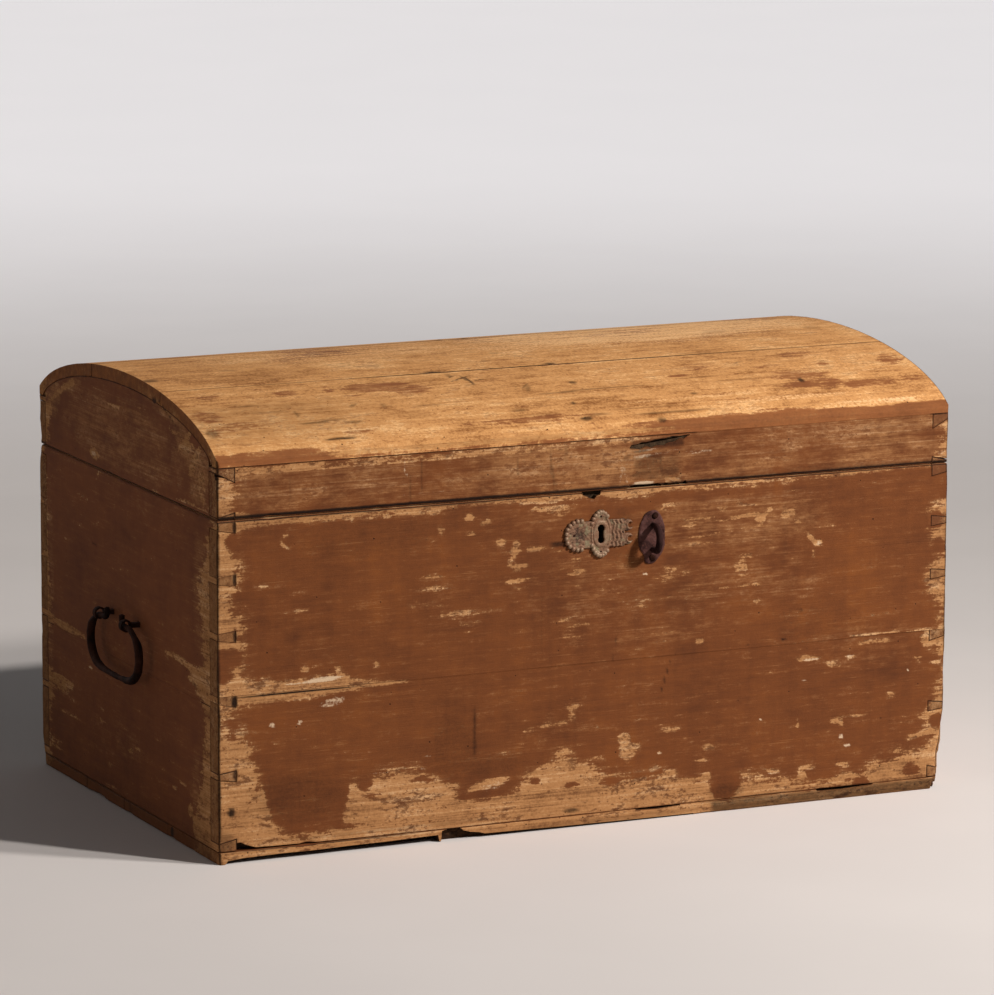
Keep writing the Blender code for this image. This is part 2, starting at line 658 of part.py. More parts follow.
def build_escutcheon():
    """Build the cast keyhole plate: beaded lobe, tall oval, ridged block and two broken horns."""
    back = FRONT_FACE - SEAT_GAP
    face = back - PLATE_THICKNESS
    middle = (KEYHOLE_X, KEYHOLE_HEIGHT)
    oval = ellipse(middle, ESCUTCHEON_OVAL_WIDTH / 2, ESCUTCHEON_OVAL_HEIGHT / 2, 2 * ROUND_STEPS)
    plate = add_piece("escutcheon", prism("y", oval, back, face), "cast_plate", smooth=True)

    lobe_middle = (KEYHOLE_X - ESCUTCHEON_LOBE_OFFSET, KEYHOLE_HEIGHT)
    lobe = arc(lobe_middle, ESCUTCHEON_LOBE_RADIUS, 90, 270, ROUND_STEPS)
    lobe += [(KEYHOLE_X, KEYHOLE_HEIGHT - ESCUTCHEON_LOBE_RADIUS), (KEYHOLE_X, KEYHOLE_HEIGHT
                                                                     + ESCUTCHEON_LOBE_RADIUS)]
    sunk = ESCUTCHEON_LEVEL_STEP
    combine(plate, add_tool("escutcheon_lobe", prism("y", lobe, back, face + sunk)), "UNION")

    half_block = ESCUTCHEON_BLOCK_HEIGHT / 2
    block_end = KEYHOLE_X + ESCUTCHEON_BLOCK_END
    ridged = block((KEYHOLE_X, face + 2 * sunk, KEYHOLE_HEIGHT - half_block),
                   (block_end, back, KEYHOLE_HEIGHT + half_block))
    combine(plate, add_tool("escutcheon_block", ridged), "UNION")
    horn_bore = ESCUTCHEON_HORN_RADIUS * ESCUTCHEON_HORN_BORE_SHARE
    horn_spread = ESCUTCHEON_HORN_RADIUS + ESCUTCHEON_HORN_GAP / 2
    for side in (-1, 1):
        horn_middle = (block_end + horn_bore, KEYHOLE_HEIGHT + side * horn_spread)
        horn = rod("y", horn_middle, ESCUTCHEON_HORN_RADIUS, back, face + 3 * sunk)
        combine(plate, add_tool("escutcheon_horn", horn), "UNION")
        bore_middle = (horn_middle[0] + horn_bore, horn_middle[1])
        bore = rod("y", bore_middle, horn_bore, back + OVERRUN, face - OVERRUN)
        combine(plate, add_tool("escutcheon_horn_bore", bore), "DIFFERENCE")

    lobe_line = arc(lobe_middle, ESCUTCHEON_LOBE_RADIUS, *ESCUTCHEON_LOBE_BEAD_ANGLES,
                    ESCUTCHEON_BEAD_LINE_STEPS)
    combine(plate, add_tool("escutcheon_lobe_beads", beads_along(lobe_line, face + sunk)), "UNION")
    for side in (-1, 1):
        turned = arc((0, 0), 1, *ESCUTCHEON_OVAL_BEAD_ANGLES, ESCUTCHEON_BEAD_LINE_STEPS)
        oval_line = [(KEYHOLE_X + ESCUTCHEON_OVAL_WIDTH / 2 * across,
                      KEYHOLE_HEIGHT + side * ESCUTCHEON_OVAL_HEIGHT / 2 * up) for across, up in turned]
        combine(plate, add_tool("escutcheon_oval_beads", beads_along(oval_line, face)), "UNION")

    collar = ellipse(middle, KEYHOLE_HEAD_RADIUS + ESCUTCHEON_COLLAR_MARGIN,
                     KEYHOLE_LENGTH / 2 + ESCUTCHEON_COLLAR_MARGIN, 2 * ROUND_STEPS)
    collar_face = face - ESCUTCHEON_COLLAR_HEIGHT
    combine(plate, add_tool("escutcheon_collar", prism("y", collar, back - sunk, collar_face)), "UNION")
    first = KEYHOLE_X + ESCUTCHEON_OVAL_WIDTH / 2
    pitch = (block_end - first) / ESCUTCHEON_RIDGES
    for index in range(ESCUTCHEON_RIDGES):
        middle_line = first + (index + 0.5) * pitch
        start = middle_line - ESCUTCHEON_RIDGE_WIDTH / 2
        near = [(start + sign * ESCUTCHEON_RIDGE_WAVE, KEYHOLE_HEIGHT + share * half_block)
                for share, sign in ESCUTCHEON_RIDGE_SHARES]
        far = [(across + ESCUTCHEON_RIDGE_WIDTH, up) for across, up in reversed(near)]
        ridge = prism("y", near + far, back - 2 * sunk, face - ESCUTCHEON_RIDGE_HEIGHT)
        combine(plate, add_tool("escutcheon_ridge", ridge), "UNION")

    reach = ESCUTCHEON_OVAL_HEIGHT
    behind = block((KEYHOLE_X - reach, back, KEYHOLE_HEIGHT - reach),
                   (KEYHOLE_X + reach, back + OVERRUN, KEYHOLE_HEIGHT + reach))
    combine(plate, add_tool("escutcheon_back", behind), "DIFFERENCE")

    hole = prism("y", keyhole_outline(), FRONT_INNER_FACE + OVERRUN, collar_face - OVERRUN)
    keyhole = add_tool("keyhole", hole)
    combine(plate, keyhole, "DIFFERENCE")
    combine(bpy.data.objects["front_upper_board"], keyhole, "DIFFERENCE")


def build_staple():
    """Build the leaf-shaped plate and the staple that is driven through it and clenched inside."""
    back = FRONT_FACE - SEAT_GAP
    outline = [(STAPLE_X + across * STAPLE_PLATE_WIDTH, STAPLE_HEIGHT + up * STAPLE_PLATE_HEIGHT)
               for across, up in STAPLE_PLATE_SHARES]
    bm = prism("y", smooth_loop(outline), back, back - PLATE_THICKNESS)
    plate = add_piece("staple_plate", bm, "wrought_iron", smooth=True)

    inside = FRONT_INNER_FACE + STAPLE_BAR_RADIUS + STAPLE_CLENCH_OFFSET
    outside = FRONT_FACE - STAPLE_REACH
    top, low = STAPLE_LEG_HEIGHTS
    corners = [
        (STAPLE_X, inside, top + STAPLE_CLENCH_LENGTH),
        (STAPLE_X, inside, top),
        (STAPLE_X, outside, top),
        (STAPLE_X, outside, low),
        (STAPLE_X, inside, low),
        (STAPLE_X, inside, low - STAPLE_CLENCH_LENGTH),
    ]
    arch = STAPLE_LEG_SPACING * STAPLE_ARCH_SHARE
    bends = [STAPLE_BEND_RADIUS, arch, arch, STAPLE_BEND_RADIUS]
    path = bent_path(corners, bends)
    origin = (STAPLE_X, FRONT_FACE, STAPLE_HEIGHT)
    bar("staple_loop", path, [STAPLE_BAR_RADIUS] * len(path), "wrought_iron", origin)

    bore = STAPLE_BAR_RADIUS + SEAT_GAP
    for number, leg in enumerate(STAPLE_LEG_HEIGHTS):
        hole = rod("y", (STAPLE_X, leg), bore, back - PLATE_THICKNESS - OVERRUN, FRONT_INNER_FACE + OVERRUN)
        tool = add_tool("staple_hole_" + str(number + 1), hole)
        combine(plate, tool, "DIFFERENCE")
        combine(bpy.data.objects["front_upper_board"], tool, "DIFFERENCE")


# Lock, bolt and catch

def build_lock():
    """Build the lock box on the inside of the front, with room for its bolt, its key and the lid's catch."""
    near = FRONT_INNER_FACE + SEAT_GAP
    far = near + LOCK_DEPTH
    low_x, high_x = LOCK_X - LOCK_WIDTH / 2, LOCK_X + LOCK_WIDTH / 2
    bm = block((low_x, near, LOCK_TOP - LOCK_HEIGHT), (high_x, far, LOCK_TOP))
    case = add_piece("lock_case", bm, "wrought_iron")
    bevel = case.modifiers.new("edge", "BEVEL")
    bevel.width = LOCK_EDGE
    bevel.segments = 1

    prong_near = near + CATCH_CANT
    prong_far = prong_near + CATCH_PRONG_DEPTH
    prong_low_x, prong_high_x = CATCH_X - CATCH_PRONG_WIDTH / 2, CATCH_X + CATCH_PRONG_WIDTH / 2
    bolt_y = (prong_near + prong_far) / 2
    bolt_tip = prong_low_x - BOLT_PLAY
    bolt_tail = bolt_tip - BOLT_LENGTH
    half_width, half_thick = BOLT_WIDTH / 2, BOLT_THICKNESS / 2
    bolt_low, bolt_high = BOLT_HEIGHT - half_width, BOLT_HEIGHT + half_width
    talon_far = KEYHOLE_X - BOLT_TRAVEL / 2 + BOLT_TALON_WIDTH / 2
    talon_near = talon_far - BOLT_TALON_WIDTH
    talon_foot = bolt_high - BOLT_TALON_DROP
    prong_tip = bolt_low - CATCH_EYE_WALL

    bolt_outline = [(bolt_tail, bolt_low), (talon_near, bolt_low), (talon_near, talon_foot),
                    (talon_far, talon_foot), (talon_far, bolt_low), (bolt_tip, bolt_low),
                    (bolt_tip, bolt_high), (bolt_tail, bolt_high)]
    bm = prism("y", bolt_outline, bolt_y - half_thick, bolt_y + half_thick)
    add_piece("lock_bolt", bm, "wrought_iron", (bolt_tip, bolt_y, BOLT_HEIGHT))

    play = BOLT_PLAY
    thrown = BOLT_TRAVEL + 2 * play
    loose = CATCH_SLOT_PLAY
    rooms = {
        "bolt_channel": block((bolt_tail - play, bolt_y - half_thick - play, bolt_low - play),
                              (bolt_tip + thrown, bolt_y + half_thick + play, bolt_high + play)),
        "talon_room": block((talon_near - play, bolt_y - half_thick - 2 * play, talon_foot - play),
                            (talon_far + thrown, bolt_y + half_thick + 2 * play, BOLT_HEIGHT)),
        "catch_slot": block((prong_low_x - loose, near - OVERRUN, prong_tip - loose),
                            (prong_high_x + loose, prong_far + loose, LOCK_TOP + OVERRUN)),
        "key_well": prism("y", keyhole_outline(), near - OVERRUN, near + KEY_WELL_DEPTH),
    }
    for name, bm in rooms.items():
        combine(case, add_tool(name, bm), "DIFFERENCE")

    # The catch: a plate on the lid's front board with a pierced prong that drops into the lock
    plate_far = near + CATCH_PLATE_THICKNESS
    half_plate = CATCH_PLATE_WIDTH / 2
    plate_foot = LID_FOOT + CATCH_ABOVE_SEAM
    bm = block((CATCH_X - half_plate, near, plate_foot),
               (CATCH_X + half_plate, plate_far, plate_foot + CATCH_PLATE_HEIGHT))
    catch = add_piece("lid_catch", bm, "wrought_iron", HINGE_ORIGIN)
    root = plate_foot + CATCH_PRONG_DEPTH
    prong = [(prong_near, prong_tip), (prong_far, prong_tip), (prong_far, plate_foot),
             (plate_far - SEAT_GAP, root), (prong_near, root)]
    combine(catch, add_tool("catch_prong", prism("x", prong, prong_low_x, prong_high_x)), "UNION")
    hole = block((prong_low_x - OVERRUN, bolt_y - half_thick - 2 * play, bolt_low - 2 * play),
                 (prong_high_x + OVERRUN, bolt_y + half_thick + 2 * play, bolt_high + 2 * play))
    combine(catch, add_tool("catch_hole", hole), "DIFFERENCE")


# Drop handles

def build_handle(name, side):
    """Build a bail that hangs in its two eyes on one end; side is -1 for the left end, 1 for the right."""
    axis_x = side * (HALF_LENGTH + BAIL_STAND)
    middle_y = -BAIL_SHIFT
    board = bpy.data.objects[name + "_end_upper_board"]
    shank = EYE_SHANK / 2
    slope = math.degrees(math.asin(shank / EYE_RADIUS))
    clench_near = BAIL_STAND + END_THICKNESS + SEAT_GAP
    clench_far = clench_near + EYE_CLENCH_THICKNESS
    profile = arc((0, 0), EYE_RADIUS, slope, 360 - slope, ROUND_STEPS)
    profile += [(clench_near, -shank), (clench_near, -EYE_CLENCH_TIP), (clench_far, -EYE_CLENCH_TIP),
                (clench_far, EYE_CLENCH_TIP), (clench_near, EYE_CLENCH_TIP), (clench_near, shank)]
    outline = [(axis_x - side * out, EYE_HEIGHT + up) for out, up in profile]
    bore = rod("y", (axis_x, EYE_HEIGHT), EYE_BORE, -HALF_DEPTH, HALF_DEPTH)
    bore_tool = add_tool(name + "_eye_bore", bore)
    for place, sign in (("front", -1), ("rear", 1)):
        near = sign * BAIL_WIDTH * EYE_SPACING_SHARE / 2 - EYE_WIDTH / 2
        far = near + EYE_WIDTH
        eye = add_piece(name + "_handle_" + place + "_eye", prism("y", outline, near, far), "wrought_iron",
                        smooth=True)
        combine(eye, bore_tool, "DIFFERENCE")
        ends = sorted((side * (INNER_HALF_LENGTH - OVERRUN), side * (HALF_LENGTH + OVERRUN)))
        slot = block((ends[0], near - SEAT_GAP, EYE_HEIGHT - shank - SEAT_GAP),
                     (ends[1], far + SEAT_GAP, EYE_HEIGHT + shank + SEAT_GAP))
        combine(board, add_tool(name + "_" + place + "_eye_slot", slot), "DIFFERENCE")

    half_width = BAIL_WIDTH / 2
    tip = half_width - BAIL_WIDTH * BAIL_TIP_INSET_SHARE
    top_bend, foot_bend = BAIL_WIDTH * BAIL_TOP_BEND_SHARE, BAIL_WIDTH * BAIL_FOOT_BEND_SHARE
    low = BAIL_AXIS_HEIGHT - BAIL_DROP
    right_half = [
        (axis_x, middle_y + half_width, low),
        (axis_x, middle_y + half_width, BAIL_AXIS_HEIGHT),
        (axis_x, middle_y + tip, BAIL_AXIS_HEIGHT),
        (axis_x, middle_y + tip, BAIL_AXIS_HEIGHT + BAIL_TIP_RISE),
    ]
    left_half = [(x, 2 * middle_y - y, z) for x, y, z in reversed(right_half)]
    bends = [BAIL_TIP_BEND, top_bend, foot_bend, foot_bend, top_bend, BAIL_TIP_BEND]
    path = bent_path(left_half + right_half, bends)
    radii = []
    for place in path:
        below_share = min(1, max(0, (BAIL_AXIS_HEIGHT - place.z) / top_bend))
        radii.append(BAIL_TIP_RADIUS + (BAIL_BAR_RADIUS - BAIL_TIP_RADIUS) * below_share)
    bar(name + "_handle_bail", path, radii, "wrought_iron", (axis_x, middle_y, BAIL_AXIS_HEIGHT))


# Hinges

def rolled_strap_profile(length):
    """Return the side view of a strap that hangs down from the eye rolled at its top."""
    radius = HINGE_KNUCKLE_RADIUS
    inner = radius - HINGE_STRAP_THICKNESS
    start = math.degrees(math.atan2(-math.sqrt(radius ** 2 - inner ** 2), -inner))
    profile = arc((0, 0), radius, start, 180, ROUND_STEPS)
    return [(-radius, -length), (-inner, -length)] + profile


def strap_outline(length, knuckles):
    """Return the front view of a strap below its knuckles: it narrows to a waist and ends in a leaf."""
    half, waist, leaf = HINGE_STRAP_WIDTH / 2, HINGE_STRAP_WAIST / 2, HINGE_STRAP_FINIAL / 2
    start, waist_height = -HINGE_LEAF_START, -length + STRAP_WAIST_SHARE * leaf
    side = [
        (half, start),
        (half, max(2 * start, (start + waist_height) / 2)),
        (waist, waist_height),
        (leaf, -length + STRAP_LEAF_SHARE * leaf),
        (STRAP_POINT_WIDTH_SHARE * leaf, -length + STRAP_POINT_HEIGHT_SHARE * leaf),
        (0, -length),
    ]
    mirrored = [(-across, up) for across, up in reversed(side[:-1])]
    return side + mirrored + knuckles


def build_hinge(name, x):
    """Build one strap hinge: a strap on the box, a strap on the lid and the pin through both."""
    rise = HINGE_KNUCKLE_RADIUS + OVERRUN
    half = HINGE_STRAP_WIDTH / 2
    middle = HINGE_MIDDLE_KNUCKLE / 2
    outer = middle + HINGE_KNUCKLE_PLAY
    start = -HINGE_LEAF_START
    one_knuckle = [(-middle, start), (-middle, rise), (middle, rise), (middle, start)]
    two_knuckles = [(-half, rise), (-outer, rise), (-outer, start), (outer, start), (outer, rise),
                    (half, rise)]
    straps = (
        ("box", -1, HINGE_BOX_STRAP_LENGTH, one_knuckle),
        ("lid", 1, HINGE_LID_STRAP_LENGTH, two_knuckles),
    )
    pin_length = half + HINGE_PIN_OVERHANG
    reach = pin_length + OVERRUN
    bore = rod("x", (HINGE_AXIS_Y, HINGE_AXIS_Z), HINGE_PIN_RADIUS + HINGE_PIN_PLAY, x - reach, x + reach)
    bore_tool = add_tool(name + "_hinge_bore", bore)
    for part, direction, length, knuckles in straps:
        profile = [(HINGE_AXIS_Y + across, HINGE_AXIS_Z - direction * up) for across, up in
                   rolled_strap_profile(length + OVERRUN)]
        origin = (x, HINGE_AXIS_Y, HINGE_AXIS_Z)
        strap = add_piece(name + "_hinge_" + part + "_strap", prism("x", profile, x - half, x + half),
                          "wrought_iron", origin, smooth=True)
        outline = [(x + across, HINGE_AXIS_Z - direction * up)
                   for across, up in strap_outline(length, knuckles)]
        ends = (HINGE_AXIS_Y - HINGE_KNUCKLE_RADIUS - OVERRUN, HINGE_AXIS_Y + HINGE_KNUCKLE_RADIUS + OVERRUN)
        combine(strap, add_tool(name + "_" + part + "_outline", prism("y", outline, *ends)), "INTERSECT")
        combine(strap, bore_tool, "DIFFERENCE")
    pin = rod("x", (HINGE_AXIS_Y, HINGE_AXIS_Z), HINGE_PIN_RADIUS, x - pin_length, x + pin_length)
    add_piece(name + "_hinge_pin", pin, "wrought_iron", origin, smooth=True)


def main():
    """Build the whole chest."""
    clear_scene()
    build_box_boards()
    build_bottom()
    build_till()
    build_lid_boards()
    build_escutcheon()
    build_staple()
    build_lock()
    build_handle("left", -1)
    build_handle("right", 1)
    build_hinge("left", -HINGE_X)
    build_hinge("right", HINGE_X)


main()
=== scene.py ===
"""Looks of the dome-topped storage chest: worn paint on pine, forged iron and a cast keyhole plate.

Every piece is in metres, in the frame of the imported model: +X along the chest, +Y to the back, +Z up.
"""

import logging
import math
from dataclasses import dataclass, field
from enum import Enum
from typing import Callable, Sequence

import bmesh
import bpy
import numpy as np
from mathutils import Matrix, Vector


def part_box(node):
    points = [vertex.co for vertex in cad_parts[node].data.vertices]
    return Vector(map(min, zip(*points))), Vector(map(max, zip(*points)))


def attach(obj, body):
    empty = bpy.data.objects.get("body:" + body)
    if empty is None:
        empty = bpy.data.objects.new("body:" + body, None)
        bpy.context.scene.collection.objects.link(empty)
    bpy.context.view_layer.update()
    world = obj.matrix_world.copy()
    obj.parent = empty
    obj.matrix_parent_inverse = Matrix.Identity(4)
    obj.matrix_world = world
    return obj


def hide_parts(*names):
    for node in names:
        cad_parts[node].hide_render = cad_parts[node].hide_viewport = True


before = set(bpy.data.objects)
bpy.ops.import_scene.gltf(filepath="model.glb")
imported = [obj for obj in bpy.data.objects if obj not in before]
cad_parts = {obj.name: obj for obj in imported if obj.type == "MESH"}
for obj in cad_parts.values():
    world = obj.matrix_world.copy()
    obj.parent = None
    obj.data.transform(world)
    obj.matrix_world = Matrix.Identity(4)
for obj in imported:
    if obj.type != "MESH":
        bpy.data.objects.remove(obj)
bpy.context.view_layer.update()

LOG = logging.getLogger("storage_chest")
MM = 0.001
# The third layer holds dirt and painted shade, the fourth pale marks and painted highlights.
LAYERS = ("bare", "thin", "grime_and_shade", "pale")
Points = np.ndarray
Values = np.ndarray
Ramp = tuple[float, float]
Line = Sequence[tuple[float, float]]
Place = tuple[float, float, float]
Bounds = tuple[Place, Place]
Colour = tuple[float, float, float]
Socket = bpy.types.NodeSocket


class Grain(Enum):
    """The way the wood fibres run in a board, as the number of an axis."""

    ALONG_CHEST = 0
    ACROSS_CHEST = 1


class Side(Enum):
    """The side of the chest that a face looks to."""

    FRONT = "front"
    BACK = "back"
    LEFT = "left"
    RIGHT = "right"
    TOP = "top"
    INSIDE = "inside"


@dataclass(frozen=True)
class ChestForm:
    """Main sizes of the chest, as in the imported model."""

    half_length: float = 0.530
    half_depth: float = 0.320
    side_thickness: float = 0.026
    end_thickness: float = 0.025
    bottom_top: float = 0.0165
    rim: float = 0.447
    lid_foot: float = 0.4476
    skirt_top: float = 0.5148
    board_joint: float = 0.2195
    dome_half_span: float = 0.335
    dome_height: float = 0.5925
    dome_edge: float = 0.0087
    stave_thickness: float = 0.018
    face_band: float = 0.0006
    keyhole: tuple[float, float] = (0.0100, 0.3905)
    box_bounds: Bounds = ((-0.530, -0.320, 0.0163), (0.530, 0.320, 0.447))
    bottom_bounds: Bounds = ((-0.530, -0.320, 0.0), (0.530, 0.320, 0.016))
    lid_bounds: Bounds = ((-0.530, -0.320, 0.4476), (0.530, 0.320, 0.700))

    @property
    def dome_rise(self) -> float:
        """Height of the dome's half ellipse."""
        share = self.half_depth / self.dome_half_span
        return (self.dome_height - self.skirt_top - self.dome_edge) / (1 - math.sqrt(1 - share ** 2))

    def dome(self, across: Values, inset: float = 0.0) -> Values:
        """Return the height of the dome over places across the chest.

        Args:
            across: places from front to back.
            inset: how far the surface is sunk under the outer one.

        Returns:
            The heights.
        """
        share = np.clip(across / (self.dome_half_span - inset), -1, 1)
        rise = self.dome_rise
        return self.dome_height - rise + (rise - inset) * np.sqrt(1 - share ** 2)


FORM = ChestForm()


class Noise:
    """Smooth random values in space, the same at each run."""

    def __init__(self, seed: int) -> None:
        """Fill the table of random values from a seed."""
        self.table = np.random.default_rng(seed).random((32, 32, 32))

    def at(self, points: Points, size: float | Sequence[float], octaves: int = 3) -> Values:
        """Return noise at points.

        Args:
            points: places, one row each.
            size: length of the pattern, or its length along each axis.
            octaves: number of finer layers.

        Returns:
            Values round 0.5, between 0 and 1.
        """
        total = np.zeros(len(points))
        weight_sum = 0.0
        for octave in range(octaves):
            weight = 0.5 ** octave
            total += weight * self._layer(points / np.asarray(size) * 2 ** octave + 7.3 * octave)
            weight_sum += weight
        return total / weight_sum

    def _layer(self, places: Points) -> Values:
        """Interpolate the table.

        Args:
            places: places, counted in cells of the table.

        Returns:
            The value at each place.
        """
        cell = np.floor(places).astype(int)
        part = places - cell
        part = part * part * (3 - 2 * part)
        value = np.zeros(len(places))
        for corner in range(8):
            step = np.array([corner & 1, corner >> 1 & 1, corner >> 2 & 1])
            index = (cell + step) % 32
            share = np.prod(np.where(step == 1, part, 1 - part), axis=1)
            value += share * self.table[index[:, 0], index[:, 1], index[:, 2]]
        return value


def smooth(value: Values, low: float | Values, high: float | Values) -> Values:
    """Ease a value from 0 at low to 1 at high."""
    share = np.clip((value - low) / (high - low), 0, 1)
    return share * share * (3 - 2 * share)


def line_at(line: Line, places: Values) -> Values:
    """Return the height of a broken line, given in millimetres, at places in metres."""
    known, heights = np.array(sorted(line)).T * MM
    return np.interp(places, known, heights)


# Wear, with painted light and shade


@dataclass(frozen=True)
class Spot:
    """An oval mark on a face, in millimetres: its middle, half sizes, strength and tilt in degrees."""

    across: float
    up: float
    half_across: float
    half_up: float
    strength: float = 1.0
    tilt: float = 0.0

    def cover(self, across: Values, up: Values) -> Values:
        """Return how much the mark covers places.

        Args:
            across: places across the face.
            up: places up the face.

        Returns:
            The cover at each place, from 0 to the mark's strength.
        """
        turn = math.radians(self.tilt)
        a = across / MM - self.across
        b = up / MM - self.up
        u = (a * math.cos(turn) + b * math.sin(turn)) / self.half_across
        v = (b * math.cos(turn) - a * math.sin(turn)) / self.half_up
        return self.strength * smooth(np.sqrt(u * u + v * v), 1.5, 0.55)


@dataclass(frozen=True)
class Patch:
    """A squarish mark on a face, in millimetres: its edges, strength and the softness of its rim."""

    left: float
    right: float
    foot: float
    top: float
    strength: float = 1.0
    rim: float = 3.0

    def cover(self, across: Values, up: Values) -> Values:
        """Return how much the mark covers places.

        Args:
            across: places across the face.
            up: places up the face.

        Returns:
            The cover at each place, from 0 to the mark's strength.
        """
        a, b = across / MM, up / MM
        deep = np.minimum.reduce([a - self.left, self.right - a, b - self.foot, self.top - b])
        return self.strength * smooth(deep, -self.rim, self.rim)


def marks(groups: dict[float, Sequence[tuple[float, ...]]]) -> tuple[Spot, ...]:
    """Return oval marks, listed by strength as their middle, half sizes and, where they lean, tilt."""
    return tuple(Spot(*mark[:4], strength, *mark[4:]) for strength, group in groups.items() for mark in group)


def covered(spots: Sequence[Spot | Patch], across: Values, up: Values) -> Values:
    """Return the strongest cover by any of the marks.

    Args:
        spots: the marks.
        across: places across the face.
        up: places up the face.

    Returns:
        The cover at each place.
    """
    total = np.zeros(len(across))
    for spot in spots:
        total = np.maximum(total, spot.cover(across, up))
    return total


def edge_dirt_and_seam_shade(across: Values, up: Values, half: float, noise: Values, bold: Values | float = 1.0) -> Values:
    """Return the dirt along the corners of a side, and the painted shade on both sides of the lid's seam.

    Args:
        across: places across the side.
        up: heights.
        half: half the side's width.
        noise: smooth noise at the same places.
        bold: factor on the width of the painted shade along the seam.

    Returns:
        The dirt and painted shade at each place.
    """
    ragged = 0.006 * noise
    corner = smooth(np.abs(across), half - 0.001 - ragged * 1.6, half - 0.0005)
    # The lid's seam is painted dark on both sides, as painted shade in its gap.
    off = np.where(up > FORM.rim + 0.0003, up - FORM.lid_foot, (FORM.rim - up) * 2.2)
    seam = smooth(off, (0.0044 + ragged * 0.5) * bold, 0.0026 * bold)
    return np.maximum(corner * 0.8, seam)


@dataclass
class Wear:
    """How a surface has worn at each of its points: bare of paint, thinly painted, dark with dirt and painted
    shade, and pale with pale marks and painted highlights.
    """

    bare: Values
    thin: Values
    grime_and_shade: Values
    pale: Values

    @staticmethod
    def plain(count: int) -> "Wear":
        """Return the wear of a surface that nothing has touched."""
        return Wear(np.full(count, 0.06), np.zeros(count), np.zeros(count), np.zeros(count))


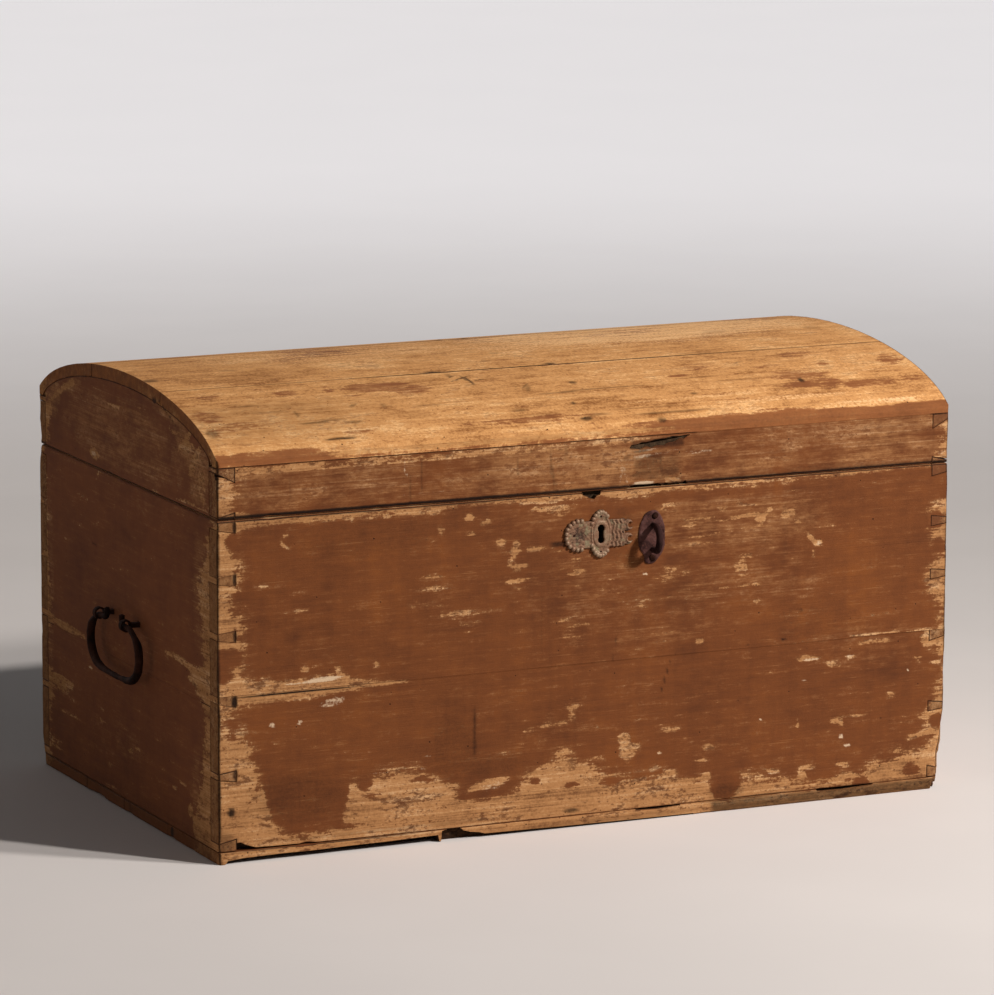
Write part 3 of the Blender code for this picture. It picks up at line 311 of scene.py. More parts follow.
@dataclass(frozen=True)
class FrontWear:
    """Wear of the front of the box and the lid's skirt, with painted shade in the lid's seam and painted
    highlights along a split.
    """

    foot_line: Line = (
        (-530, 150), (-505, 150), (-485, 150), (-480, 122), (-472, 112), (-485, 92), (-478, 80), (-488, 62),
        (-458, 60), (-446, 42), (-430, 34), (-380, 32), (-362, 40), (-352, 60), (-345, 92), (-330, 88),
        (-318, 97), (-300, 101), (-262, 100), (-245, 98), (-232, 88), (-222, 84), (-208, 72), (-190, 60),
        (-170, 50), (-140, 50), (-118, 54), (-105, 66), (-92, 80), (-75, 84), (-58, 90), (-45, 92), (-30, 97),
        (-18, 86), (0, 78), (18, 74), (30, 62), (60, 60), (85, 56), (110, 60), (118, 52), (165, 52), (178, 46),
        (180, 24), (190, 18), (212, 20), (222, 42), (248, 46), (262, 40), (290, 36), (305, 26), (330, 24),
        (350, 28), (372, 30), (395, 26), (410, 40), (430, 52), (448, 58), (470, 58), (490, 52), (500, 56),
        (512, 70), (516, 84), (530, 92))
    left_line: Line = (
        (0, -470), (60, -485), (110, -470), (130, -480), (150, -478), (165, -500), (200, -502), (205, -490),
        (240, -492), (260, -497), (290, -494), (320, -490), (330, -505), (350, -508), (360, -500), (400, -497),
        (410, -508), (425, -516), (430, -503), (436, -478), (447, -440), (460, -505), (520, -503))
    right_line: Line = (
        (0, 505), (60, 508), (80, 512), (100, 500), (120, 505), (150, 527), (180, 522), (200, 508), (215, 510),
        (225, 525), (250, 528), (270, 508), (290, 505), (310, 505), (320, 524), (345, 506), (370, 508),
        (395, 512), (405, 529), (447, 532), (456, 512), (470, 520), (520, 516))
    rim_line: Line = (
        (-530, 426), (-500, 432), (-470, 436), (-440, 440), (-350, 437), (-300, 438), (-250, 436), (-220, 438),
        (-200, 442), (-150, 442), (-110, 441), (-95, 437), (-40, 436), (0, 440), (30, 437), (60, 433),
        (100, 440), (150, 441), (200, 439), (250, 442), (530, 446))
    joint_top: Line = (
        (-530, 238), (-470, 236), (-440, 233), (-350, 236), (-343, 228), (-300, 222), (-260, 219.5))
    joint_low: Line = ((-530, 205), (-450, 207), (-400, 211), (-350, 213), (-300, 215), (-260, 219.5))
    lost: Sequence[Spot | Patch] = (Patch(104, 128, 450.5, 458, 1.0, 1.6),) + marks({
        1: ((332, 354, 9, 4), (60, 30, 50, 4)),
        0.95: ((-150, 70, 28, 7, 6), (47, 112, 9, 10)),
        0.9: ((52, 95, 12, 14), (170, 50, 8, 5), (420, 222, 40, 1.3), (500, 78, 30, 4, 10),
            (250, 26, 26, 9), (500, 38, 10, 10)),
        0.85: ((-112, 380, 7, 11, -15), (158, 234, 8, 5, 20), (380, 30, 24, 4)),
        0.8: ((-25, 341, 14, 3, 8), (-175, 62, 10, 4, 20), (215, 397, 45, 3, 3), (246, 392, 11, 6),
            (287, 396, 13, 7, 15), (205, 303, 30, 2.2), (322, 361, 4, 8, 40), (327, 340, 3, 8),
            (505, 208, 14, 16), (488, 182, 8, 3), (515, 175, 10, 3), (385, 194, 12, 4), (372, 104, 4, 5),
            (313, 38, 8, 5)),
        0.78: ((150, 398, 36, 2.6, 2),),
        0.75: ((-178, 427, 8, 6), (-107, 356, 15, 5, 5), (238, 302, 14, 2.2), (115, 62, 14, 4),
            (320, 46, 20, 4)),
        0.72: ((165, 377, 36, 2.4, 2), (320, 196, 22, 4)),
        0.7: ((-410, 246, 7, 4), (-363, 242, 6, 5), (300, 385, 8, 3, -25), (62, 98, 12, 8),
            (160, 73, 10, 2), (305, 110, 2, 9), (270, 47, 14, 3), (100, 88, 5, 3), (172, 90, 9, 3)),
        0.68: ((218, 330, 11, 12),),
        0.65: ((-133, 388, 8, 9), (-92, 137, 10, 5), (160, 368, 25, 1.8), (375, 47, 14, 4)),
        0.62: ((-84, 378, 15, 6), (-108, 337, 26, 4, 4), (360, 186, 14, 5)),
        0.6: ((-60, 428, 32, 9, -8), (-176, 404, 9, 4), (-118, 362, 7, 8), (-105, 327, 15, 3),
            (-230, 336, 25, 4), (-435, 424, 10, 3, 50), (-438, 410, 10, 2.5, -45), (-40, 100, 14, 8),
            (140, 392, 12, 7), (210, 380, 42, 1.8, 3), (190, 410, 12, 4), (215, 414, 20, 2),
            (295, 428, 24, 2), (260, 405, 8, 4), (225, 345, 28, 3), (90, 70, 10, 3), (285, 235, 14, 2),
            (385, 112, 30, 3), (480, 221, 40, 1.3), (362, 108, 8, 6), (440, 40, 30, 8), (390, 118, 8, 2)),
        0.55: ((-155, 417, 10, 5, 20), (-218, 412, 5, 9), (-22, 358, 12, 3), (-470, 360, 14, 4),
            (-60, 142, 25, 6), (-30, 165, 12, 8), (-310, 243, 5, 6), (108, 420, 12, 6)),
        0.5: ((-235, 352, 20, 4), (-175, 286, 18, 5), (-30, 150, 6, 10), (242, 285, 6, 10),
            (75, 271, 60, 4), (115, 118, 16, 5), (410, 105, 25, 3), (425, 195, 50, 3), (463, 96, 30, 3),
            (447, 135, 8, 6)),
        0.48: ((430, 212, 70, 5),),
        0.45: ((-415, 325, 16, 2.5), (120, 325, 34, 10)),
        0.42: ((-245, 318, 30, 6), (-180, 300, 60, 6), (120, 343, 24, 9), (40, 320, 40, 16),
            (60, 292, 60, 7), (140, 285, 26, 12)),
        0.4: ((-20, 262, 26, 20),),
    })
    rubbed: Sequence[Spot] = marks({
        0.14: ((20, 330, 200, 90), (230, 370, 140, 50), (-60, 140, 90, 30)),
        0.12: ((100, 120, 60, 40),),
        0.1: ((400, 200, 110, 40), (300, 90, 200, 50), (-480, 150, 50, 60)),
        0.08: ((60, 200, 120, 60),),
        0.06: ((-200, 110, 90, 40),),
    })
    faded: Sequence[Spot] = marks({
        0.5: ((190, 390, 170, 46),),
        0.4: ((240, 320, 110, 50),),
        0.36: ((40, 320, 190, 60), (420, 210, 90, 40), (-60, 410, 90, 30)),
        0.34: ((100, 270, 170, 40),),
    })
    kept: Sequence[Spot] = marks({
        0.9: ((520, 95, 10, 10),),
        0.85: ((522, 425, 12, 20),),
        0.8: ((-160, 58, 30, 3), (405, 20, 12, 7)),
        0.75: ((-520, 268, 20, 14),),
        0.7: ((-28, 57, 12, 4),),
        0.65: ((-325, 86, 8, 7), (480, 30, 16, 8)),
        0.62: ((196, 34, 20, 14),),
        0.6: ((-505, 420, 12, 8), (-318, 72, 14, 4), (-80, 66, 9, 3), (25, 57, 14, 5), (-400, 42, 30, 7),
            (345, 34, 14, 4), (517, 510, 8, 8)),
        0.55: ((-522, 245, 14, 10), (-245, 84, 16, 4), (-350, 36, 20, 5), (520, 335, 10, 10)),
        0.5: ((-440, 52, 20, 5), (445, 52, 14, 4)),
        0.45: ((514, 370, 10, 12),),
        0.3: ((-517, 180, 12, 30),),
    })
    pale_marks: Sequence[Spot | Patch] = (Patch(105, 127, 451, 457.5, 0.44, 1.6),) + marks({
        # The strong pale lines along the split at the board joint are painted highlights; the other marks are
        # whitish specks and patches.
        1: ((-385, 230.5, 32, 3.4, 2), (372, 86, 5, 2.6), (73, 453, 17, 2.6)),
        0.9: ((382, 72, 6, 3.4), (76, 331, 4, 2.4), (473, 168, 3, 2), (251, 120, 2, 2)),
        0.8: ((-425, 228.5, 14, 1.6), (-455, 177, 5, 3), (-417, 177, 5, 3.5, 20), (324, 195, 14, 2.6),
            (384, 194, 8, 3), (100, 88, 3, 2), (334, 353, 6, 2.5)),
        0.7: ((314, 167, 5, 2.5), (120, 445.8, 60, 1.0), (170, 90, 6, 2), (382, 118, 2, 2)),
        0.66: ((72, 489, 16, 3.0, 3),),
        0.62: ((-372, 200, 20, 7, 8),),
        0.6: ((-237, 115, 7, 2), (-245, 101, 5, 3), (-267, 488, 3, 3), (322, 45, 14, 3), (270, 45, 12, 2),
            (76, 496.5, 19, 1.8, 3), (150, 490, 28, 1.4)),
        0.58: ((152, 488, 28, 1.3, 2),),
        0.56: ((0, 435.5, 14, 1.4),),
        0.55: ((-143, 68, 24, 6, 8), (-270, 500, 3, 14), (39, 462, 2.4, 6, -10), (116, 494, 12, 1.5, 5)),
        0.5: ((-300, 101, 25, 2), (62, 490, 6, 1.6, -20), (-18, 441, 3, 4), (-30, 445.6, 60, 1.0),
            (95, 491, 30, 2.5), (520, 462, 10, 4)),
        0.46: ((43, 472, 5, 10, 22), (48, 460, 4, 7, 8)),
        0.45: ((84, 470, 9, 1.4, -25),),
        0.42: ((36, 484, 3, 8, -18), (46, 483, 3, 9, 30)),
        0.4: ((-120, 360, 3, 10), (-240, 462, 60, 2.4)),
        0.3: ((-520, 465, 8, 20),),
    })
    stains: Sequence[Spot | Patch] = (Patch(57, 100, 456, 491, 0.46, 8),
        Patch(92, 128, 450, 493, 0.42, 14), Patch(38, 57, 462, 492, 0.26, 9),
        Patch(54, 132, 498, 511, 0.6, 4), Patch(176, 540, -6, 16.4, 0.66, 5)) + marks({
        1: ((-420, 217.5, 90, 1.3),),
        0.9: ((-512, 68, 6, 6), (-507, 212, 4, 9), (-380, 15.4, 140, 1.2), (283, 226, 3, 2),
            (388, 222, 2, 2)),
        0.8: ((-506, 297, 3, 8), (-506, 371, 3, 9), (-506, 438, 3, 9), (228, 223, 2, 2)),
        0.7: ((-50, 381, 14, 4), (-506, 117, 4, 9), (107, 190, 1.4, 26, -18), (32, 235, 1.3, 16, -6),
            (230, 16, 70, 2, 1), (-30, 23, 12, 3)),
        0.62: ((-170, 140, 1.2, 34),),
        0.6: ((70, 496, 14, 2, 4), (400, 15, 60, 3)),
        0.54: ((88, 486, 16, 4, -8),),
        0.52: ((98, 474, 3.0, 19, 7), (72, 466, 20, 4, 8), (-60, 478, 2.4, 26, 4)),
        0.5: ((66, 480, 9, 5, 30), (112, 466, 15, 7), (84, 460, 12, 3), (-52, 470, 1.6, 16, -6),
            (440, 155, 1.5, 7), (-184, 130, 1.0, 26), (308, 264, 4, 3)),
        0.46: ((48, 489, 8, 3, 30),),
        0.45: ((-246, 487, 1.4, 24), (-155, 150, 1.0, 30), (-520, 30, 12, 16)),
        0.42: ((200, 26, 26, 14),),
        0.4: ((-262, 470, 1.2, 20), (122, 220, 5, 2, 40), (185, 172, 1.2, 10, 20), (-110, 488, 2, 14)),
        0.35: ((-430, 482, 1.2, 20), (-40, 500, 3, 20), (-300, 24, 190, 3)),
        0.34: ((-420, 80, 70, 34), (45, 400, 14, 24), (60, 6, 120, 5)),
        0.3: ((0, 476, 1.4, 26), (-200, 120, 40, 50), (-150, 96, 60, 16), (-75, 280, 2, 60),
            (-470, 5, 60, 4), (350, 457, 60, 3)),
        0.28: ((55, 375, 60, 30),),
        0.25: ((285, 455, 250, 3),),
        0.24: ((-330, 410, 120, 30),),
        0.22: ((100, 300, 60, 25), (330, 250, 80, 40)),
    })
    softness: float = 0.019
    rim_softness: float = 0.008
    joint_softness: float = 0.006
    sway: float = 0.02
    crack_end: float = -0.262
    edge_swing: float = 0.38
    film_left: float = 0.3
    kept_level: float = 0.3
    thin_spots: Ramp = (0.58, 0.85)
    thinness: float = 0.35
    bold_seam: float = 0.35
    bold_start: Ramp = (0.1, -0.3)
    skirt_thin: float = 0.47
    skirt_bare: float = 0.12
    lighter_start: Ramp = (-0.24, -0.12)
    lighter_end: Ramp = (0.09, 0.20)
    lip_foot: float = 0.504
    lip_middle: Ramp = (0.15, 0.02)
    lip_left: Ramp = (-0.05, -0.3)
    band_left: Ramp = (-0.34, -0.40)
    band_right: Ramp = (0.0, 0.2)

    def wear(self, across: Values, up: Values, noise: Values) -> Wear:
        """Return the wear at places on the front.

        Args:
            across: places along the chest.
            up: heights.
            noise: smooth noise at the same places.

        Returns:
            The wear at each place.
        """
        wear = Wear.plain(len(across))
        sway = (noise - 0.5) * self.sway
        on_box = up < FORM.rim + FORM.face_band
        foot = (line_at(self.foot_line, across) + sway - up) / self.softness
        left = (line_at(self.left_line, up) + sway - across) / self.softness
        right = (across - line_at(self.right_line, up) + sway) / self.softness
        rim = np.where(on_box, (up - line_at(self.rim_line, across) + sway * 0.3) / self.rim_softness, -9)
        crack = np.minimum(line_at(self.joint_top, across) - up, up - line_at(self.joint_low, across))
        crack = np.where(across < self.crack_end, crack / self.joint_softness, -9)
        edge = np.clip(np.maximum.reduce([foot, left, right, rim, crack]), -1, 1)
        faded = covered(self.faded, across, up)
        wear.bare = np.maximum(wear.bare + covered(self.rubbed, across, up), 0.5 + self.edge_swing * edge)
        wear.bare = np.maximum(wear.bare, covered(self.lost, across, up) * (1 - self.film_left * faded))
        wear.bare -= covered(self.kept, across, up) * (wear.bare > self.kept_level)
        thin = smooth(noise, *self.thin_spots) * self.thinness
        wear.thin = np.where(on_box, np.maximum(thin, faded), 0.0)
        # The painted shade in the lid's seam grows wider toward the left.
        wear.grime_and_shade = np.maximum(covered(self.stains, across, up), edge_dirt_and_seam_shade(
            across, up, FORM.half_length, noise, 1 + self.bold_seam * smooth(across, *self.bold_start)))
        wear.pale = covered(self.pale_marks, across, up)
        self._wear_skirt(wear, across, up, noise, ~on_box)
        return wear

    def _wear_skirt(self, wear: Wear, across: Values, up: Values, noise: Values, skirt: np.ndarray) -> None:
        """Set the wear of the lid's skirt, whose paint has gone thin.

        Args:
            wear: the wear of the whole front.
            across: places along the chest.
            up: heights.
            noise: smooth noise at the same places.
            skirt: which of the places are on the skirt.
        """
        lighter = smooth(across, *self.lighter_start) * (1 - 0.75 * smooth(across, *self.lighter_end))
        wear.thin = np.where(skirt, self.skirt_thin + 0.15 * lighter + (noise - 0.5) * 0.5, wear.thin)
        wear.bare = np.where(skirt, np.maximum(wear.bare, self.skirt_bare), wear.bare)
        upper = smooth(across, *self.lip_middle) * 0.34 + smooth(across, *self.lip_left) * 0.08
        wear.bare = np.where(skirt & (up > self.lip_foot), self.skirt_bare + upper, wear.bare)
        band = skirt & (up > FORM.skirt_top)
        right = smooth(across, *self.band_right)
        wear.bare = np.where(band, wear.bare - 0.34 * smooth(across, *self.band_left), wear.bare)
        wear.thin = np.where(band, 0.36 - 0.34 * right, wear.thin)
        wear.grime_and_shade = np.maximum(wear.grime_and_shade, np.where(band, 0.27 * right, 0.0))


@dataclass(frozen=True)
class EndWear:
    """Wear of the ends of the box and the lid, from the front corner to the rear one, with painted shade in
    the lid's seam.
    """

    front_line: Line = (
        (0, -245), (60, -250), (80, -262), (120, -265), (150, -272), (190, -275), (205, -262), (225, -240),
        (238, -228), (255, -275), (290, -268), (330, -256), (350, -250), (370, -258), (388, -276), (400, -290),
        (447, -290), (460, -300), (520, -300))
    rear_line: Line = (
        (0, 292), (100, 285), (118, 270), (132, 262), (145, 300), (190, 292), (205, 275), (220, 276),
        (260, 282), (300, 292), (447, 300), (460, 285), (530, 290))
    lost: Sequence[Spot] = marks({
        1: ((235, 532, 50, 4, -25), (200, 545, 24, 3, -20)),
        0.85: ((-250, 232, 28, 14), (215, 210, 60, 6)),
        0.8: ((-14, 87, 12, 3, -5), (-225, 52, 10, 10), (-250, 35, 18, 22)),
        0.75: ((-200, 244, 40, 5, 5), (245, 128, 45, 12), (-40, 94, 14, 2, -8), (-170, 70, 8, 4),
            (112, 466, 16, 9), (280, 500, 12, 16), (-245, 512, 34, 9, -48)),
        0.72: ((-212, 534, 30, 7, -36),),
        0.7: ((210, 132, 14, 5), (-200, 82, 14, 2, -6), (-140, 566, 40, 2.4, 14), (130, 171, 9, 3),
            (-110, 452, 16, 2), (98, 440, 8, 3, -40), (-240, 455, 60, 2)),
        0.66: ((-270, 482, 14, 24),),
        0.62: ((-180, 540, 34, 7, 10), (296, 300, 7, 130)),
        0.6: ((-150, 246, 20, 3), (165, 208, 20, 4), (90, 104, 24, 3, -10), (-225, 528, 30, 10),
            (-288, 330, 8, 110), (-288, 90, 8, 70)),
        0.55: ((90, 122, 7, 4), (60, 52, 14, 4, -15), (55, 20, 30, 6), (-60, 552, 26, 4)),
        0.5: ((270, 40, 26, 10), (40, 540, 30, 3)),
        0.45: ((60, 449, 90, 1.4),),
        0.4: ((-185, 471, 14, 3), (210, 90, 40, 4)),
    })
    faded: Sequence[Spot] = marks({
        0.75: ((-262, 492, 34, 44, 20), (-205, 534, 60, 20, 36)),
        0.7: ((262, 515, 34, 22, -40), (200, 545, 50, 9, -20)),
        0.6: ((-120, 566, 70, 10, 12),),
        0.52: ((0, 505, 260, 55),),
        0.5: ((-262, 350, 30, 90), (-255, 80, 34, 70), (284, 250, 18, 160)),
        0.35: ((30, 90, 120, 30),),
        0.28: ((-60, 430, 200, 24),),
    })
    pale_marks: Sequence[Spot] = marks({
        0.8: ((132, 171, 7, 2.4),),
        0.7: ((96, 443, 6, 2, -45),),
        0.6: ((-175, 72, 8, 3),),
        0.5: ((113, 466, 10, 6),),
        0.4: ((255, 40, 14, 8),),
        0.35: ((240, 125, 30, 8),),
    })
    stains: Sequence[Spot] = marks({
        1: ((-108, 571, 7, 4.4),),
        0.9: ((-160, 8, 6, 9),),
        0.8: ((-150, 562, 44, 1.3, 22),),
        0.6: ((-12, 8, 8, 9), (113, 343, 10, 1.5)),
        0.3: ((0, 20, 320, 16),),
        0.22: ((30, 250, 80, 60),),
        0.2: ((0, 215, 130, 60),),
        0.12: ((0, 330, 260, 100),),
    })
    softness: float = 0.018
    sway: float = 0.022
    edge_swing: float = 0.36
    thin_spots: Ramp = (0.55, 0.85)
    thinness: float = 0.3
    seam_width: float = 0.45

    def wear(self, across: Values, up: Values, noise: Values) -> Wear:
        """Return the wear at places on an end.

        Args:
            across: places from the front corner to the rear one.
            up: heights.
            noise: smooth noise at the same places.

        Returns:
            The wear at each place.
        """
        wear = Wear.plain(len(across))
        sway = (noise - 0.5) * self.sway
        front = (line_at(self.front_line, up) + sway - across) / self.softness
        rear = (across - line_at(self.rear_line, up) + sway) / self.softness
        edge = 0.5 + self.edge_swing * np.clip(np.maximum(front, rear), -1, 1)
        wear.bare = np.maximum.reduce([wear.bare, edge, covered(self.lost, across, up)])
        thin = smooth(noise, *self.thin_spots) * self.thinness
        wear.thin = np.maximum(thin, covered(self.faded, across, up))
        # Painted shade in the lid's seam, as on the front.
        wear.grime_and_shade = np.maximum(covered(self.stains, across, up),
                                edge_dirt_and_seam_shade(across, up, FORM.half_depth, noise, self.seam_width))
        wear.pale = covered(self.pale_marks, across, up)
        return wear


@dataclass(frozen=True)
class DomeWear:
    """Wear of the staves: bare wood with remains of paint, stains and a ring mark, painted shade on the front
    left, and painted highlights on the top and the front lip.
    """

    remains: Sequence[Spot] = marks({
        1: ((-244, -168, 44, 20),),
        0.95: ((-204, -186, 30, 17),),
        0.85: ((345, -228, 42, 14), (440, -265, 44, 10)),
        0.8: ((-95, -291, 75, 5), (-320, -288, 20, 5)),
        0.75: ((-310, -165, 8, 12), (362, -256, 44, 12), (180, -206, 12, 5)),
        0.7: ((250, -308, 90, 5),),
        0.65: ((-372, -168, 16, 9), (322, -195, 24, 7), (505, -200, 16, 22)),
        0.6: ((-290, -195, 12, 6), (-462, -258, 52, 10), (-505, -228, 20, 18), (380, -160, 34, 13),
            (35, -131, 24, 5), (402, -198, 10, 10), (340, 220, 70, 40), (-120, 250, 90, 30)),
        0.55: ((-500, -270, 24, 14), (215, 45, 60, 36), (110, 190, 80, 50)),
        0.5: ((-402, -150, 8, 12), (505, -265, 20, 14), (-235, 70, 60, 60), (20, 95, 40, 40),
            (-40, -290, 60, 8), (-410, 160, 50, 60), (460, 120, 40, 40)),
        0.45: ((270, 90, 40, 30),),
        0.42: ((222, -180, 24, 14),),
        0.4: ((-480, -160, 22, 14),),
        0.38: ((-300, 15, 46, 36),),
        0.35: ((-210, -50, 30, 20),),
    })
    stains: Sequence[Spot] = marks({
        0.9: ((-350, -299, 22, 2.5),),
        0.8: ((-111, -168, 3, 20, 6), (344, -246, 5, 7), (0, -297, 10, 3), (-2, -262, 5, 3),
            (-140, -125, 16, 4, -12), (30, -122, 10, 3), (-118, -160, 22, 1.8, 28)),
        0.7: ((25, -203, 6, 6), (176, -260, 6, 3.5), (105, -308, 7, 5), (-100, -172, 20, 1.4, 22),
            (-126, -150, 12, 1.4, 35), (-360, -262, 34, 2.4, 3)),
        0.6: ((-516, -272, 10, 10), (-520, -70, 12, 10), (-46, -205, 16, 1.6, 50), (-318, -268, 14, 4),
            (-300, -225, 9, 3, 30), (-10, -232, 30, 1.8), (20, -290, 26, 2), (-440, -205, 20, 2),
            (-385, -238, 4, 10)),
        0.55: ((60, -228, 60, 1.6), (130, -296, 60, 2.6)),
        0.5: ((-44, -212, 4, 14, -25), (-48, -88, 10, 5), (-128, -145, 5, 9), (-260, -232, 3, 8),
            (-85, -270, 14, 3), (-60, -208, 12, 1.3, 60), (120, -222, 40, 1.4), (210, -215, 40, 1.4),
            (252, -232, 34, 1.4), (160, -250, 40, 1.5), (300, -170, 26, 1.4, 12),
            (280, -176, 18, 1.2, -20), (-470, -190, 26, 1.6), (-420, -228, 26, 2), (-200, -240, 20, 1.6)),
        0.4: ((-118, -186, 8, 4), (-16, -45, 9, 6), (-388, -215, 6, 8), (90, -283, 60, 2),
            (-60, -282, 60, 2), (-400, -40, 16, 7), (245, -120, 30, 3), (350, -180, 30, 1.4),
            (-210, -180, 26, 1.4)),
        0.35: ((340, 0, 22, 14), (480, -20, 14, 14), (0, -319, 530, 3)),
        0.3: ((60, -165, 8, 4),),
        0.22: ((-225, -262, 22, 12),),
    })
    # These pale marks are painted light: a paler lit top and thin highlights along the front edge.
    light: Sequence[Spot] = marks({
        0.64: ((240, 60, 320, 130),),
        0.6: ((300, -284, 120, 5),),
        0.52: ((20, 10, 60, 90),),
        0.5: ((-220, 60, 260, 130), (200, -268, 160, 5, 2), (-330, -284, 130, 6), (460, -230, 40, 5)),
        0.45: ((-60, -250, 120, 4, 1), (430, -180, 60, 4), (120, -236, 110, 3)),
        0.4: ((-120, -230, 90, 3), (260, -150, 90, 4)),
        0.35: ((-400, -110, 60, 5),),
        0.3: ((380, -60, 80, 10), (-250, -20, 120, 6)),
    })
    seams: tuple[float, float] = (-0.128, 0.118)
    ring_middle: tuple[float, float] = (102, 16)
    ring_radius: float = 35
    ring_width: float = 4.5
    paint_right: Ramp = (0.02, 0.16)
    paint_left: Ramp = (-0.33, -0.42)
    paint_edge: Ramp = (-0.3075, -0.3125)
    paint_bare: float = 0.08
    paint_dirt: float = 0.27
    wood_bare: float = 0.86
    wood_thin: float = 0.45
    remains_cover: float = 0.62
    sway: float = 0.006
    lip: float = -0.3035
    lip_width: Ramp = (0.0075, 0.0040)
    # Reach and width of the painted shade on the front left of the dome.
    painted_shade_left: Ramp = (-0.12, -0.40)
    painted_shade_middle: float = -0.245
    painted_shade_width: Ramp = (0.085, 0.03)
    seam_width: float = 0.0024

    def wear(self, across: Values, back: Values, noise: Values) -> Wear:
        """Return the wear at places on the dome.

        Args:
            across: places along the chest.
            back: places from front to back.
            noise: smooth noise at the same places.

        Returns:
            The wear at each place.
        """
        wear = Wear.plain(len(across))
        sway = self.sway * (noise - 0.5)
        painted = np.maximum(smooth(across, *self.paint_right), 0.85 * smooth(across, *self.paint_left))
        front = smooth(back + sway, *self.paint_edge) * painted
        bare = self.wood_bare - covered(self.remains, across, back) * self.remains_cover + (noise - 0.5) * 0.25
        wear.bare = bare * (1 - front) + self.paint_bare * front
        wear.thin = self.wood_thin * (1 - front)
        lip = smooth(np.abs(back - self.lip + sway), *self.lip_width)
        # The worn lip is pale wood, made paler to the right as a painted highlight.
        lip_wear_and_highlight = 0.02 + 0.24 * smooth(across, -0.36, -0.1) + 0.34 * smooth(across, 0.02, 0.20)
        wear.pale = np.maximum(lip * lip_wear_and_highlight * smooth(noise, 0.30, 0.55), covered(self.light, across, back))
        # Painted shade darkens the front left of the dome, where the light falls off.
        left = smooth(across, *self.painted_shade_left) * smooth(np.abs(back - self.painted_shade_middle), *self.painted_shade_width)
        gone = np.hypot(across / MM - self.ring_middle[0], back / MM - self.ring_middle[1])
        ring = smooth(np.abs(gone - self.ring_radius), self.ring_width, 1.0) * smooth(noise, 0.35, 0.6)
        dirt_and_shade = [self.paint_dirt * front, left * 0.33, covered(self.stains, across, back), ring * 0.55]
        wide = self.seam_width + 0.003 * smooth(noise, 0.5, 0.8)
        bold = 0.55 + 0.45 * smooth(np.abs(across - 0.02), 0.34, 0.16)
        dirt_and_shade += [bold * smooth(np.abs(back - seam), wide, wide * 0.3) for seam in self.seams]
        wear.grime_and_shade = np.maximum.reduce(dirt_and_shade)
        return wear


# Materials


